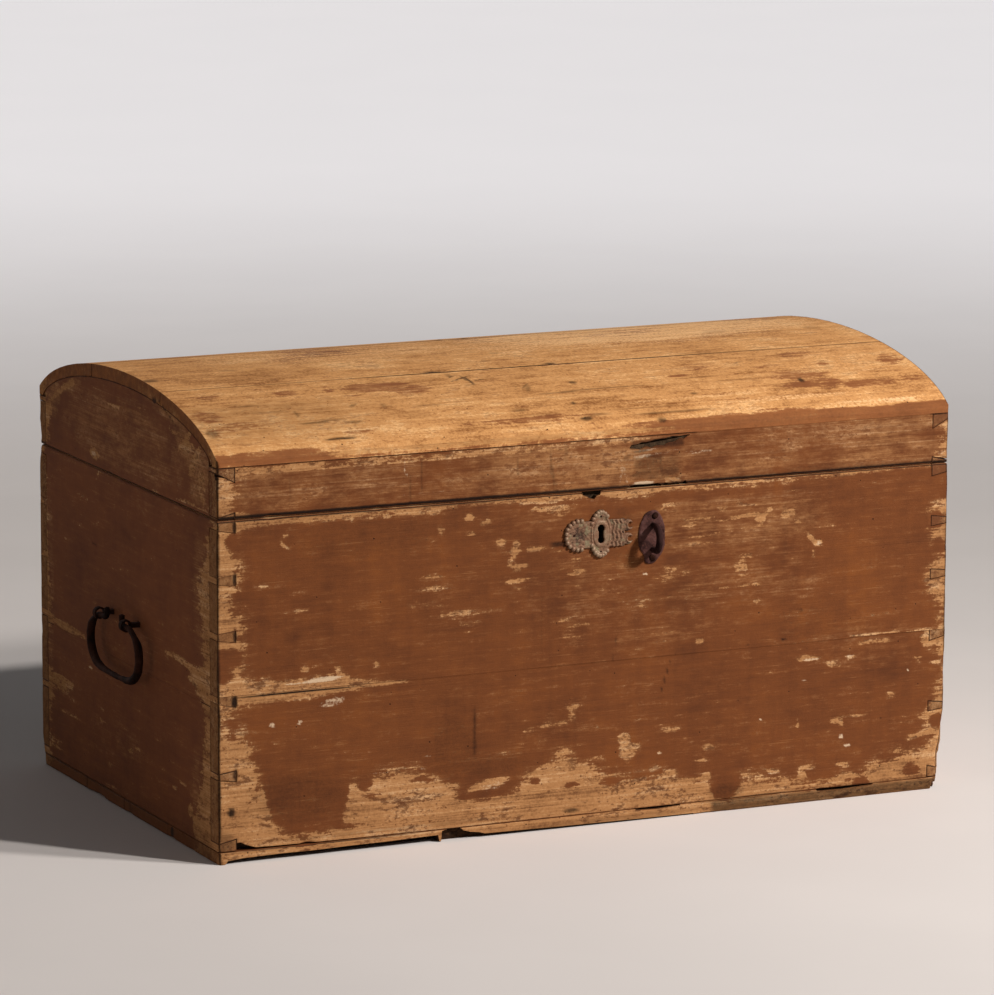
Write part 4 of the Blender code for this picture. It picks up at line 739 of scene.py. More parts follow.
class Shader:
    """A node material, put together step by step."""

    def __init__(self, name: str) -> None:
        """Make an empty material.

        Args:
            name: name of the material.
        """
        self.material = bpy.data.materials.new(name)
        self.material.use_nodes = True
        self.tree = self.material.node_tree
        self.surface = self.tree.nodes["Principled BSDF"]
        self.place = self.node("TexCoord").outputs["Object"]

    def feed(self, socket: Socket, value: object) -> None:
        """Link an output to an input, or set the input's own value.

        Args:
            socket: the input.
            value: an output, a number, a vector or a colour.
        """
        if isinstance(value, Socket):
            self.tree.links.new(value, socket)
        elif isinstance(value, tuple) and len(value) == 3 and socket.type == "RGBA":
            socket.default_value = (*value, 1.0)
        else:
            socket.default_value = value

    def node(self, kind: str, inputs: dict[str | int, object] | None = None,
             **settings: object) -> bpy.types.Node:
        """Add a node.

        Args:
            kind: kind of node, without Blender's prefix.
            inputs: what goes into its inputs, by name or number.
            settings: its own settings.

        Returns:
            The node.
        """
        node = self.tree.nodes.new("ShaderNode" + kind)
        for name, value in settings.items():
            setattr(node, name, value)
        for name, value in (inputs or {}).items():
            self.feed(node.inputs[name], value)
        return node

    def stretch(self, scale: float | Sequence[float]) -> Socket:
        """Return the place on the piece, scaled alike or along each axis."""
        scale = (scale, scale, scale) if isinstance(scale, (int, float)) else tuple(scale)
        return self.node("VectorMath", {0: self.place, 1: scale}, operation="MULTIPLY").outputs["Vector"]

    def noise(self, scale: float | Sequence[float], detail: float, rough: float, warp: float = 0.0) -> Socket:
        """Return cloudy noise.

        Args:
            scale: its patterns per metre, or those along each axis.
            detail: number of finer layers.
            rough: weight of the finer layers.
            warp: how far the pattern is twisted.

        Returns:
            The noise, between 0 and 1.
        """
        inputs = {"Vector": self.stretch(scale), "Scale": 1.0, "Detail": detail, "Roughness": rough,
                  "Distortion": warp}
        return self.node("TexNoise", inputs).outputs["Fac"]

    def specks(self, scale: float, reach: float) -> Socket:
        """Return small round specks, one where a cell of the pattern is near its middle."""
        cells = self.node("TexVoronoi", {"Vector": self.stretch(scale), "Scale": 1.0})
        return self.ease(cells.outputs["Distance"], reach, reach * 0.4)

    def attribute(self, name: str) -> Socket:
        """Return a value that the mesh carries."""
        return self.node("Attribute", attribute_name=name).outputs["Fac"]

    def math(self, operation: str, first: object, second: object) -> Socket:
        """Return the outcome of an operation on two values."""
        return self.node("Math", {0: first, 1: second}, operation=operation).outputs[0]

    def scaled(self, value: object, amount: float) -> Socket:
        """Return a value times an amount."""
        return self.math("MULTIPLY", value, amount)

    def swing(self, noise: Socket, amount: float) -> Socket:
        """Return noise as a swing about zero."""
        return self.scaled(self.math("SUBTRACT", noise, 0.5), amount)

    def sum(self, *parts: object) -> Socket:
        """Add up values.

        Args:
            parts: outputs, or pairs of a noise and the amount by which it swings about zero.

        Returns:
            The sum.
        """
        terms = [self.swing(*part) if isinstance(part, tuple) else part for part in parts]
        total = terms[0]
        for term in terms[1:]:
            total = self.math("ADD", total, term)
        return total

    def ease(self, value: object, low: float, high: float, start: float = 0.0, end: float = 1.0) -> Socket:
        """Ease from one value to another.

        Args:
            value: what decides.
            low: the decider's value at the start.
            high: its value at the end.
            start: the outcome at the start.
            end: the outcome at the end.

        Returns:
            The outcome.
        """
        inputs = {"Value": value, "From Min": low, "From Max": high, "To Min": start, "To Max": end}
        return self.node("MapRange", inputs, interpolation_type="SMOOTHSTEP").outputs["Result"]

    def mix(self, share: object, first: object, second: object) -> Socket:
        """Return a colour between two others."""
        return self.node("Mix", {0: share, 6: first, 7: second}, data_type="RGBA").outputs[2]

    def relief(self, height: Socket, depth: float, strength: float) -> None:
        """Give the surface a fine relief."""
        inputs = {"Strength": strength, "Distance": depth, "Height": height}
        self.feed(self.surface.inputs["Normal"], self.node("Bump", inputs).outputs["Normal"])

    def close(self, colour: object, roughness: object, specular: float,
              metallic: float = 0.0) -> bpy.types.Material:
        """Set the surface.

        Args:
            colour: its colour.
            roughness: its roughness.
            specular: strength of its gloss.
            metallic: how far it is metal.

        Returns:
            The material.
        """
        self.feed(self.surface.inputs["Base Color"], colour)
        self.feed(self.surface.inputs["Roughness"], roughness)
        self.surface.inputs["Specular IOR Level"].default_value = specular
        self.surface.inputs["Metallic"].default_value = metallic
        return self.material


@dataclass(frozen=True)
class Patterns:
    """Noise that bare wood, paint, dirt and painted shade share."""

    fibres: Socket
    rings: Socket
    clouds: Socket
    streaks: Socket
    crumbs: Socket
    patches: Socket
    flecks: Socket


@dataclass(frozen=True)
class WornPaint:
    """Red-brown paint worn down to honey-coloured pine."""

    name: str
    grain: Grain
    paint: Colour = (0.142, 0.0445, 0.0138)
    paint_dark: Colour = (0.088, 0.0280, 0.0105)
    paint_warm: Colour = (0.200, 0.0620, 0.0150)
    wood: Colour = (0.375, 0.178, 0.0690)
    wood_dark: Colour = (0.120, 0.0450, 0.0170)
    wood_pale: Colour = (0.545, 0.317, 0.156)
    inner: Colour = (0.430, 0.270, 0.138)
    inner_dark: Colour = (0.245, 0.135, 0.062)
    end_grain: Colour = (0.085, 0.034, 0.0130)
    # The dark colour is used for dirt and for painted shade; the pale one for pale marks and painted
    # highlights.
    dirt_and_shade: Colour = (0.0095, 0.0048, 0.0032)
    pale_marks: Colour = (0.560, 0.400, 0.260)
    wood_swing: float = 1.0
    fibre_swing: float = 1.1
    residue: float = 0.82
    ring_swing: float = 1.4
    fading: float = 0.05
    loss_level: float = 0.52
    gloss: float = 0.06

    def stretched(self, along: float, across: float) -> Place:
        """Return pattern counts per metre, along the fibres and across them."""
        return tuple(along if axis == self.grain.value else across for axis in range(3))

    def make(self) -> bpy.types.Material:
        """Make the material.

        Returns:
            The material.
        """
        shader = Shader(self.name)
        noise = Patterns(
            fibres=shader.noise(self.stretched(5, 640), 4, 0.65),
            rings=shader.noise(self.stretched(1.7, 95), 4, 0.6, 0.5),
            clouds=shader.noise(9, 4, 0.6),
            streaks=shader.noise(self.stretched(11, 150), 6, 0.68),
            crumbs=shader.noise(260, 5, 0.7),
            patches=shader.noise(self.stretched(22, 48), 6, 0.7),
            flecks=shader.noise(self.stretched(70, 170), 5, 0.7))
        loss = shader.sum(shader.attribute("bare"), (noise.streaks, 1.35), (noise.crumbs, 0.55),
                          (noise.patches, 0.9), (noise.flecks, 1.1))
        lost = shader.ease(loss, self.loss_level - self.fading, self.loss_level + self.fading)
        nicks = shader.specks(42, 0.06)
        colour = self._outside(shader, noise, loss, lost)
        colour = shader.mix(shader.attribute("inside"), colour, self._inside(shader, noise))
        # Dirt, and the painted shade in the grime layer, darken the colour.
        colour = shader.mix(self._soil_and_shade(shader, noise), colour, self.dirt_and_shade)
        colour = shader.mix(shader.scaled(nicks, 0.8), colour, self.dirt_and_shade)

        height = shader.sum((noise.fibres, 0.6), (noise.crumbs, 0.45), (noise.streaks, 0.5))
        height = shader.math("SUBTRACT", height, shader.scaled(lost, 0.4))
        height = shader.math("SUBTRACT", height, shader.scaled(nicks, 1.4))
        shader.relief(height, 0.0010, 0.6)
        return shader.close(colour, shader.ease(loss, 0.40, 0.60, 0.74, 0.82), self.gloss)

    def _outside(self, shader: Shader, noise: Patterns, loss: Socket, lost: Socket) -> Socket:
        """Return the colour of the painted and worn faces.

        Args:
            shader: the material.
            noise: its shared noise.
            loss: how much has worn the paint.
            lost: where the paint is gone.

        Returns:
            The colour.
        """
        wood = self._wood(shader, noise)
        film = shader.sum((noise.streaks, 0.7), (noise.fibres, 0.5), (noise.patches, 1.2), (noise.flecks, 0.6),
                          shader.attribute("thin"))
        rubbed = shader.scaled(shader.ease(loss, 0.22, 0.50), 0.20)
        film = shader.math("MAXIMUM", shader.ease(film, 0.25, 1.0), rubbed)
        coat = shader.mix(shader.scaled(film, 0.74), self._paint(shader, noise), wood)
        colour = shader.mix(lost, coat, wood)
        # Pale marks and painted highlights, from the pale layer.
        pale_marks = shader.sum(shader.attribute("pale"), (noise.crumbs, 1.0), (noise.streaks, 0.9))
        colour = shader.mix(shader.ease(pale_marks, 0.42, 0.85, 0.0, 0.9), colour, self.pale_marks)
        saw_marks = shader.ease(shader.noise(90, 4, 0.65), 0.35, 0.68)
        end_tone = shader.mix(saw_marks, self.end_grain, self.wood_dark)
        return shader.mix(shader.scaled(shader.attribute("end_grain"), 0.55), colour, end_tone)

    def _inside(self, shader: Shader, noise: Patterns) -> Socket:
        """Return the colour of the clean wood inside the chest.

        Args:
            shader: the material.
            noise: its shared noise.

        Returns:
            The colour.
        """
        tone = shader.sum((noise.fibres, 1.0), (noise.rings, 1.4), (noise.clouds, 0.7))
        clean = shader.mix(shader.ease(tone, -0.5, 0.42), self.inner_dark, self.inner)
        return shader.mix(shader.ease(noise.patches, 0.60, 0.75, 0.0, 0.35), clean, self.inner_dark)

    def _soil_and_shade(self, shader: Shader, noise: Patterns) -> Socket:
        """Return where dirt and painted shade lie: stains, broken edges, and shade painted into seams and
        hollows.

        Args:
            shader: the material.
            noise: its shared noise.

        Returns:
            The share of dirt and painted shade.
        """
        broken = shader.ease(shader.sum(shader.attribute("groove"), (noise.patches, 1.6)), 0.55, 1.0)
        soil_and_shade = shader.math("MAXIMUM", shader.attribute("grime_and_shade"), shader.scaled(broken, 0.75))
        soil_and_shade = shader.sum(soil_and_shade, (noise.crumbs, 0.55), (noise.flecks, 0.35))
        return shader.scaled(shader.ease(soil_and_shade, 0.08, 1.0), 0.98)

    def _wood(self, shader: Shader, noise: Patterns) -> Socket:
        """Return the colour of the bare wood, with remains of paint in its pores.

        Args:
            shader: the material.
            noise: its shared noise.

        Returns:
            The colour.
        """
        swing = self.wood_swing
        tone = shader.sum(
            (noise.fibres, self.fibre_swing), (noise.rings, self.ring_swing), (noise.clouds, 0.9 * swing),
            (noise.patches, 1.1 * swing), (noise.crumbs, 0.9 * swing))
        wood = shader.mix(shader.ease(tone, -0.62, 0.10), self.wood_dark, self.wood)
        wood = shader.mix(shader.ease(tone, 0.02, 0.50), wood, self.wood_pale)
        checks = shader.noise(self.stretched(7, 420), 5, 0.7)
        wood = shader.mix(shader.ease(checks, 0.64, 0.72, 0.0, 0.75), wood, self.wood_dark)
        residue = shader.sum(shader.noise(self.stretched(45, 120), 6, 0.75), (noise.patches, 0.7))
        wood = shader.mix(shader.ease(residue, 0.54, 0.68, 0.0, self.residue), wood, self.paint_dark)
        scrapes = shader.noise(self.stretched(26, 700), 4, 0.7)
        wood = shader.mix(shader.ease(scrapes, 0.60, 0.72, 0.0, 0.6), wood, self.wood_pale)
        pits = shader.noise(self.stretched(140, 250), 5, 0.7)
        pits = shader.sum(pits, (noise.clouds, 0.8), (noise.patches, 0.5))
        wood = shader.mix(shader.ease(pits, 0.60, 0.70, 0.0, self.residue * 0.8), wood, self.paint_dark)
        return shader.mix(shader.specks(95, 0.13), wood, self.wood_dark)

    def _paint(self, shader: Shader, noise: Patterns) -> Socket:
        """Return the colour of the paint, with drips and fine scratches.

        Args:
            shader: the material.
            noise: its shared noise.

        Returns:
            The colour.
        """
        drips = shader.noise((70, 70, 6), 4, 0.6)
        blotch = shader.sum((noise.patches, 0.7), (noise.clouds, 0.8), (noise.streaks, 0.5), (drips, 0.32))
        paint = shader.mix(shader.ease(blotch, -0.42, 0.10), self.paint_dark, self.paint)
        paint = shader.mix(shader.ease(blotch, -0.02, 0.50), paint, self.paint_warm)
        scratches = shader.sum(shader.noise(self.stretched(16, 1100), 3, 0.6), (noise.patches, 0.5))
        return shader.mix(shader.ease(scratches, 0.64, 0.80, 0.0, 0.45), paint, self.wood)


@dataclass(frozen=True)
class BlackIron:
    """Dark forged iron with a thin skin of rust."""

    name: str = "black_iron"
    dark: Colour = (0.0048, 0.0018, 0.0011)
    skin: Colour = (0.0200, 0.0062, 0.0032)
    rust: Colour = (0.0460, 0.0140, 0.0060)
    worn: Colour = (0.0340, 0.0140, 0.0085)
    gloss: float = 0.05

    def make(self) -> bpy.types.Material:
        """Make the material.

        Returns:
            The material.
        """
        shader = Shader(self.name)
        clouds = shader.noise(55, 5, 0.6)
        grit = shader.noise(420, 4, 0.65)
        colour = shader.mix(shader.ease(clouds, 0.36, 0.58), self.dark, self.skin)
        colour = shader.mix(shader.ease(grit, 0.56, 0.74), colour, self.rust)
        colour = shader.mix(shader.ease(clouds, 0.60, 0.76), colour, self.worn)
        shader.relief(shader.sum((grit, 1.0), (clouds, 0.8)), 0.0010, 0.6)
        return shader.close(colour, shader.ease(clouds, 0.3, 0.7, 0.84, 0.70), self.gloss)


@dataclass(frozen=True)
class OldCasting:
    """Cast metal with a brown and green-grey patina, dark in its hollows."""

    name: str = "old_casting"
    hollow: Colour = (0.042, 0.019, 0.010)
    body: Colour = (0.172, 0.086, 0.047)
    crest: Colour = (0.205, 0.130, 0.078)
    green: Colour = (0.165, 0.135, 0.072)
    gloss: float = 0.25
    metallic: float = 0.2

    def make(self) -> bpy.types.Material:
        """Make the material.

        Returns:
            The material.
        """
        shader = Shader(self.name)
        grit = shader.noise(700, 4, 0.65)
        clouds = shader.noise(110, 4, 0.6)
        height = shader.sum(shader.attribute("crest"), (grit, 0.7))
        colour = shader.mix(shader.ease(height, 0.02, 0.34), self.hollow, self.body)
        colour = shader.mix(shader.ease(clouds, 0.52, 0.70), colour, self.green)
        worn = shader.sum(height, (clouds, 2.2))
        colour = shader.mix(shader.ease(worn, 0.50, 1.15), colour, self.crest)
        shader.relief(shader.sum((grit, 1.0)), 0.0006, 0.6)
        return shader.close(colour, shader.ease(height, 0.2, 0.9, 0.70, 0.48), self.gloss, self.metallic)


class Finishes:
    """The finishes of the chest, each made once."""

    def __init__(self) -> None:
        """Make the materials."""
        self.along = WornPaint("worn_paint_along", Grain.ALONG_CHEST).make()
        self.across = WornPaint(
            "worn_paint_across", Grain.ACROSS_CHEST, paint=(0.158, 0.0530, 0.0215),
            paint_dark=(0.103, 0.0360, 0.0170), paint_warm=(0.210, 0.0710, 0.0250)).make()
        # On the dome the pale colour serves mostly for painted highlights and the paler top.
        self.dome = WornPaint(
            "worn_dome", Grain.ALONG_CHEST, wood=(0.560, 0.268, 0.096), wood_dark=(0.215, 0.078, 0.022),
            wood_pale=(0.780, 0.440, 0.190), paint=(0.245, 0.086, 0.029), paint_dark=(0.165, 0.056, 0.020),
            paint_warm=(0.305, 0.115, 0.037), residue=0.40, ring_swing=0.8, pale_marks=(0.84, 0.50, 0.245),
            wood_swing=1.45, fibre_swing=0.75, fading=0.17).make()
        self.clean = WornPaint(
            "clean_pine", Grain.ACROSS_CHEST, paint=(0.46, 0.285, 0.14), paint_dark=(0.3, 0.135, 0.048),
            paint_warm=(0.5, 0.32, 0.16)).make()
        self.iron = BlackIron().make()
        self.maroon = BlackIron(
            "maroon_iron", dark=(0.0270, 0.0112, 0.0098), skin=(0.0760, 0.0315, 0.0265),
            rust=(0.1150, 0.0410, 0.0260), worn=(0.1600, 0.0860, 0.0760)).make()
        # The loop's iron is darker than the plate's, partly as painted shade on the unlit bar.
        self.dark_and_shaded_bow = BlackIron(
            "dark_and_shaded_bow_iron", dark=(0.0110, 0.0045, 0.0040), skin=(0.0240, 0.0095, 0.0085),
            rust=(0.0400, 0.0150, 0.0100), worn=(0.0600, 0.0300, 0.0270)).make()
        self.casting = OldCasting().make()

    def painted(self, grain: Grain, dome: bool) -> bpy.types.Material:
        """Return the painted finish for a way of the fibres, or for the dome."""
        flat = self.across if grain is Grain.ACROSS_CHEST else self.along
        return self.dome if dome else flat


# Meshes


def link(name: str, data: bpy.types.ID) -> bpy.types.Object:
    """Put an object into the scene.

    Args:
        name: its name.
        data: its mesh, lamp or camera.

    Returns:
        The object.
    """
    item = bpy.data.objects.new(name, data)
    bpy.context.scene.collection.objects.link(item)
    return item


def mesh_of(bm: bmesh.types.BMesh, name: str) -> bpy.types.Mesh:
    """Turn an edited form into a mesh, and free it.

    Args:
        bm: the form.
        name: name of the mesh.

    Returns:
        The mesh.
    """
    mesh = bpy.data.meshes.new(name)
    bm.to_mesh(mesh)
    bm.free()
    return mesh


def join_rings(bm: bmesh.types.BMesh, rings: Sequence[list[bmesh.types.BMVert]]) -> None:
    """Put faces between closed rings of corners.

    Args:
        bm: the form that holds them.
        rings: the rings, one after the other.
    """
    for near, far in zip(rings, rings[1:]):
        for index, corner in enumerate(near):
            after = (index + 1) % len(near)
            bm.faces.new((corner, near[after], far[after], far[index]))


def fan(bm: bmesh.types.BMesh, ring: list[bmesh.types.BMVert], tip: bmesh.types.BMVert) -> None:
    """Close a ring of corners with faces to a tip."""
    for index, corner in enumerate(ring):
        bm.faces.new((corner, ring[(index + 1) % len(ring)], tip))


@dataclass(frozen=True)
class Gouge:
    """A sharp-sided loss of wood: an outline on a face, in millimetres, sunk to a depth."""

    axis: int
    outline: Line
    start: float
    end: float

    def holds(self, places: Points) -> np.ndarray:
        """Say which points lie in the gouge's room, under the surface of the chest.

        Args:
            places: the points.

        Returns:
            True for each point in the room.
        """
        flat = np.delete(places, self.axis, axis=1) / MM
        outline = np.array(self.outline)
        inside = np.all((flat > outline.min(axis=0) - 0.5) & (flat < outline.max(axis=0) + 0.5), axis=1)
        depth = places[:, self.axis] / MM
        near = min(abs(self.start), abs(self.end))
        face = (FORM.half_length if self.axis == 0 else FORM.half_depth) / MM
        return inside & (np.abs(depth) > near - 1) & (np.abs(depth) < face - 1)

    def solid(self) -> bpy.types.Object:
        """Make the shape to take away.

        Returns:
            The shape.
        """
        bm = bmesh.new()
        rings = []
        for depth in (self.start, self.end):
            ring = []
            for across, up in self.outline:
                place = [across, up]
                place.insert(self.axis, depth)
                ring.append(bm.verts.new([value * MM for value in place]))
            rings.append(ring)
        bm.faces.new(rings[0])
        bm.faces.new(rings[1])
        join_rings(bm, rings)
        bmesh.ops.recalc_face_normals(bm, faces=bm.faces)
        return link("gouge", mesh_of(bm, "gouge"))


class Workpiece:
    """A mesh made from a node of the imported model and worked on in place."""

    def __init__(self, node: str) -> None:
        """Copy the node's mesh and join its flat faces.

        Args:
            node: name of the node.
        """
        self.bm = bmesh.new()
        self.bm.from_mesh(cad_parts[node].data)
        bmesh.ops.remove_doubles(self.bm, verts=self.bm.verts, dist=1e-6)
        bmesh.ops.dissolve_limit(self.bm, angle_limit=math.radians(0.5), verts=self.bm.verts,
                                 edges=self.bm.edges)

    def take_away(self, gouges: Sequence[Gouge]) -> None:
        """Cut gouges out of the mesh.

        Args:
            gouges: the losses of wood.
        """
        for gouge in gouges:
            item, tool = link("work", mesh_of(self.bm, "work")), gouge.solid()
            modifier = item.modifiers.new("cut", "BOOLEAN")
            modifier.operation = "DIFFERENCE"
            modifier.solver = "EXACT"
            modifier.object = tool
            graph = bpy.context.evaluated_depsgraph_get()
            self.bm = bmesh.new()
            self.bm.from_mesh(bpy.data.meshes.new_from_object(item.evaluated_get(graph)))
            for used in (item, tool):
                bpy.data.objects.remove(used)

    def ease_edges(self, width: float, keep: Callable[[Vector], bool], least: float = 35.0) -> None:
        """Take the sharpness off the edges.

        Args:
            width: width of the chamfer.
            keep: says of an edge's middle that the edge stays sharp.
            least: least angle in degrees between the faces of an edge that is eased.
        """
        sharp = math.radians(least)
        edges = [edge for edge in self.bm.edges
                 if len(edge.link_faces) == 2 and edge.calc_face_angle(0) > sharp
                 and not keep((edge.verts[0].co + edge.verts[1].co) / 2)]
        groove = self.bm.faces.layers.float.new("groove")
        result = bmesh.ops.bevel(self.bm, geom=edges, offset=width, offset_type="OFFSET", segments=1,
                                 affect="EDGES", clamp_overlap=True)
        for face in result["faces"]:
            face[groove] = 1.0

    def cut_net(self, axis: int, places: Sequence[float]) -> None:
        """Cut all faces along planes square to an axis.

        Args:
            axis: number of the axis.
            places: places of the planes, in order.
        """
        normal = Vector((0, 0, 0))
        normal[axis] = 1
        rest = list(self.bm.faces)
        for place in places:
            geometry = set(rest)
            for face in rest:
                geometry.update(face.edges)
                geometry.update(face.verts)
            if not geometry:
                return
            result = bmesh.ops.bisect_plane(self.bm, geom=list(geometry), dist=1e-6, plane_co=normal * place,
                                            plane_no=normal)
            rest = [item for item in result["geom"] if isinstance(item, bmesh.types.BMFace)
                    and max(vert.co[axis] for vert in item.verts) > place + 1e-6]

    def mesh(self, name: str) -> bpy.types.Mesh:
        """Return the finished mesh."""
        self.bm.normal_update()
        return mesh_of(self.bm, name)


def net_places(low: float, high: float, step: float, fine: Sequence[float]) -> list[float]:
    """Return the places of a net between two ends, closer together near both.

    Args:
        low: lower end.
        high: higher end.
        step: distance between places away from the ends.
        fine: distances from an end at which there is a place too.

    Returns:
        The places, in order.
    """
    reach = max(fine) + step / 2
    count = max(1, round((high - low - 2 * reach) / step))
    inner = np.linspace(low + reach, high - reach, count + 1)
    return sorted([low + part for part in fine] + list(inner) + [high - part for part in fine])


def vectors(items: bpy.types.bpy_prop_collection, name: str) -> Points:
    """Return one vector of each point or face of a mesh.

    Args:
        items: the mesh's points or faces.
        name: name of the vector.

    Returns:
        The vectors, one row each.
    """
    values = np.empty(len(items) * 3, np.float32)
    items.foreach_get(name, values)
    return values.reshape(-1, 3).astype(float)


def place_corners(mesh: bpy.types.Mesh, places: Points) -> None:
    """Move a mesh's points."""
    mesh.vertices.foreach_set("co", places.astype(np.float32).ravel())
    mesh.update()


def add_values(mesh: bpy.types.Mesh, name: str, values: Values, domain: str = "POINT") -> None:
    """Store values with a mesh for its material."""
    layer = mesh.attributes.new(name, "FLOAT", domain)
    layer.data.foreach_set("value", np.clip(values, 0, 1).astype(np.float32))


def soften(places: Points, bounds: Bounds, radius: Values) -> Points:
    """Round the outer edges of a box, each point with its own radius.

    Args:
        places: points on and in the box.
        bounds: lowest and highest corner of the box.
        radius: radius of the rounding at each point.

    Returns:
        The new places.
    """
    radius = radius[:, None]
    low, high = np.asarray(bounds)
    core = np.clip(places, low + radius, high - radius)
    out = places - core
    reach = np.linalg.norm(out, axis=1, keepdims=True)
    sides = (np.abs(out) > 1e-7).sum(axis=1, keepdims=True)
    moved = core + out * np.where(reach > 0, radius / np.maximum(reach, 1e-9), 1)
    return np.where((sides > 1) & (reach > radius), moved, places)


def show(mesh: bpy.types.Mesh, name: str, body: str, finish: bpy.types.Material,
         nodes: Sequence[str] = (), sharp: float = 32) -> None:
    """Put a mesh into the scene as a piece of the chest.

    Args:
        mesh: the mesh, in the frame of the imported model.
        name: name of the piece.
        body: body that it moves with.
        finish: its material.
        nodes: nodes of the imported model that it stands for.
        sharp: angle in degrees over which an edge stays sharp.
    """
    mesh.name = name
    mesh.materials.clear()
    mesh.materials.append(finish)
    mesh.shade_smooth()
    mesh.set_sharp_from_angle(angle=math.radians(sharp))
    item = link(name, mesh)
    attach(item, body)
    if nodes:
        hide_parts(*nodes)
    LOG.info("%s: %d faces, moves with %s", name, len(mesh.polygons), body)


@dataclass(frozen=True)
class PaintBridge:
    """A part of a joint on the front or the left end that the paint still bridges."""

    axis: int
    joint: float
    start: float
    end: float

    def holds(self, places: Points, reach: float) -> np.ndarray:
        """Say which points are at the bridged part.

        Args:
            places: the points.
            reach: how far from the joint they may be.

        Returns:
            True for each point at it.
        """
        half = FORM.half_depth if self.axis == 0 else FORM.half_length
        along = places[:, self.axis]
        near = (np.abs(places[:, 2] - self.joint) < reach) & (places[:, 1 - self.axis] < -half + 0.004)
        return near & (along > self.start) & (along < self.end)


@dataclass(frozen=True)
class WornCorner:
    """An upright corner of the chest that knocks have flattened, by depths in millimetres up its height."""

    along: int
    across: int
    depths: Line

    def flatten(self, places: Points, noise: Values) -> Points:
        """Return the places with those beyond the worn corner brought back to it.

        Args:
            places: points of a board.
            noise: smooth noise at the same places.

        Returns:
            The new places.
        """
        toward = np.array([0.8 * self.along, 0.6 * self.across, 0.0])
        corner = 0.8 * FORM.half_length + 0.6 * FORM.half_depth
        depth = line_at(self.depths, places[:, 2]) * (0.5 + noise)
        beyond = places @ toward - (corner - depth)
        return places - np.maximum(beyond, 0)[:, None] * toward


@dataclass
class Weathering:
    """How the outside of the chest has worn, as one field over all its boards, with painted light and shade
    among the wear.
    """

    front: FrontWear = field(default_factory=FrontWear)
    end: EndWear = field(default_factory=EndWear)
    dome: DomeWear = field(default_factory=DomeWear)
    noise: Noise = field(default_factory=lambda: Noise(11))
    edge_noise: Noise = field(default_factory=lambda: Noise(5))
    edge_radius: float = 0.0020
    seam_radius: float = 0.0016
    chip_radius: float = 0.0085
    waviness: float = 0.0007
    corners: Sequence[WornCorner] = (
        WornCorner(1, -1, (
            (0, 13), (22, 11.5), (45, 9), (75, 5), (110, 2.4), (200, 1.4), (330, 1.0), (470, 2.0), (600, 1))),
        WornCorner(-1, -1, (
            (0, 4), (30, 3), (80, 2.0), (200, 2.6), (260, 1.0), (420, 1.6), (447, 2.4), (600, 1.6))),
        WornCorner(-1, 1, (
            (0, 8), (14, 5), (40, 1.5), (300, 1.0), (430, 2.0), (447, 4), (470, 3), (600, 1.5))),
        WornCorner(1, 1, ((0, 6), (40, 2), (300, 1.2), (447, 2.4), (600, 1.5))))

    def side_of(self, places: Points) -> np.ndarray:
        """Return the side of the chest that each point is on.

        Args:
            places: the points.

        Returns:
            A side for each point.
        """
        x, y, z = places.T
        length, depth = FORM.half_length - FORM.face_band, FORM.half_depth - FORM.face_band
        on_dome = (z > FORM.skirt_top) & (z > FORM.dome(y) - 0.002)
        sides = np.full(len(places), Side.INSIDE, dtype=object)
        sides[on_dome] = Side.TOP
        sides[x > length] = Side.RIGHT
        sides[x < -length] = Side.LEFT
        sides[(y > depth) & ~on_dome] = Side.BACK
        sides[(y < -depth) & ~on_dome] = Side.FRONT
        return sides

    def wear(self, places: Points) -> Wear:
        """Return the wear of each point of a board.

        Args:
            places: the points.

        Returns:
            Their wear.
        """
        noise = self.noise.at(places, (0.11, 0.06, 0.035), 4)
        sides = self.side_of(places)
        x, y, z = places.T
        total = Wear.plain(len(places))
        jobs = {Side.FRONT: (self.front, x, z, noise), Side.BACK: (self.front, -x, z, noise),
                Side.LEFT: (self.end, y, z, noise), Side.RIGHT: (self.end, y, z, 1 - noise),
                Side.TOP: (self.dome, x, y, noise)}
        for side, (surface, *fields) in jobs.items():
            pick = sides == side
            if pick.any():
                part = surface.wear(*(values[pick] for values in fields))
                for name in LAYERS:
                    getattr(total, name)[pick] = getattr(part, name)
        return total

    def radius(self, places: Points) -> Values:
        """Return the radius to which the outer edges have worn.

        Args:
            places: points of a board.

        Returns:
            The radius at each point.
        """
        chips = smooth(self.edge_noise.at(places, (0.05, 0.05, 0.03)), 0.54, 0.80)
        seam = smooth(np.abs(places[:, 2] - FORM.rim), 0.012, 0.003)
        more = self.chip_radius - self.edge_radius
        return self.edge_radius + self.seam_radius * seam + more * chips ** 1.4

    def wear_down(self, mesh: bpy.types.Mesh, bounds: Bounds) -> None:
        """Wear the edges and faces of a mesh.

        Args:
            mesh: mesh of a board.
            bounds: lowest and highest corner of the form whose outer edges have worn round.
        """
        places, normals = vectors(mesh.vertices, "co"), vectors(mesh.vertices, "normal")
        least_side = np.subtract(bounds[1], bounds[0]).min()
        worn = soften(places, bounds, np.minimum(self.radius(places), least_side / 2.2))
        knocks = self.edge_noise.at(places, (0.03, 0.03, 0.022))
        for corner in self.corners:
            worn = corner.flatten(worn, knocks * 1.4 - 0.2)
        outside = self.side_of(places) != Side.INSIDE
        depth = self.waviness * self.noise.at(places, (0.24, 0.15, 0.05))
        place_corners(mesh, worn - normals * (depth * outside)[:, None])


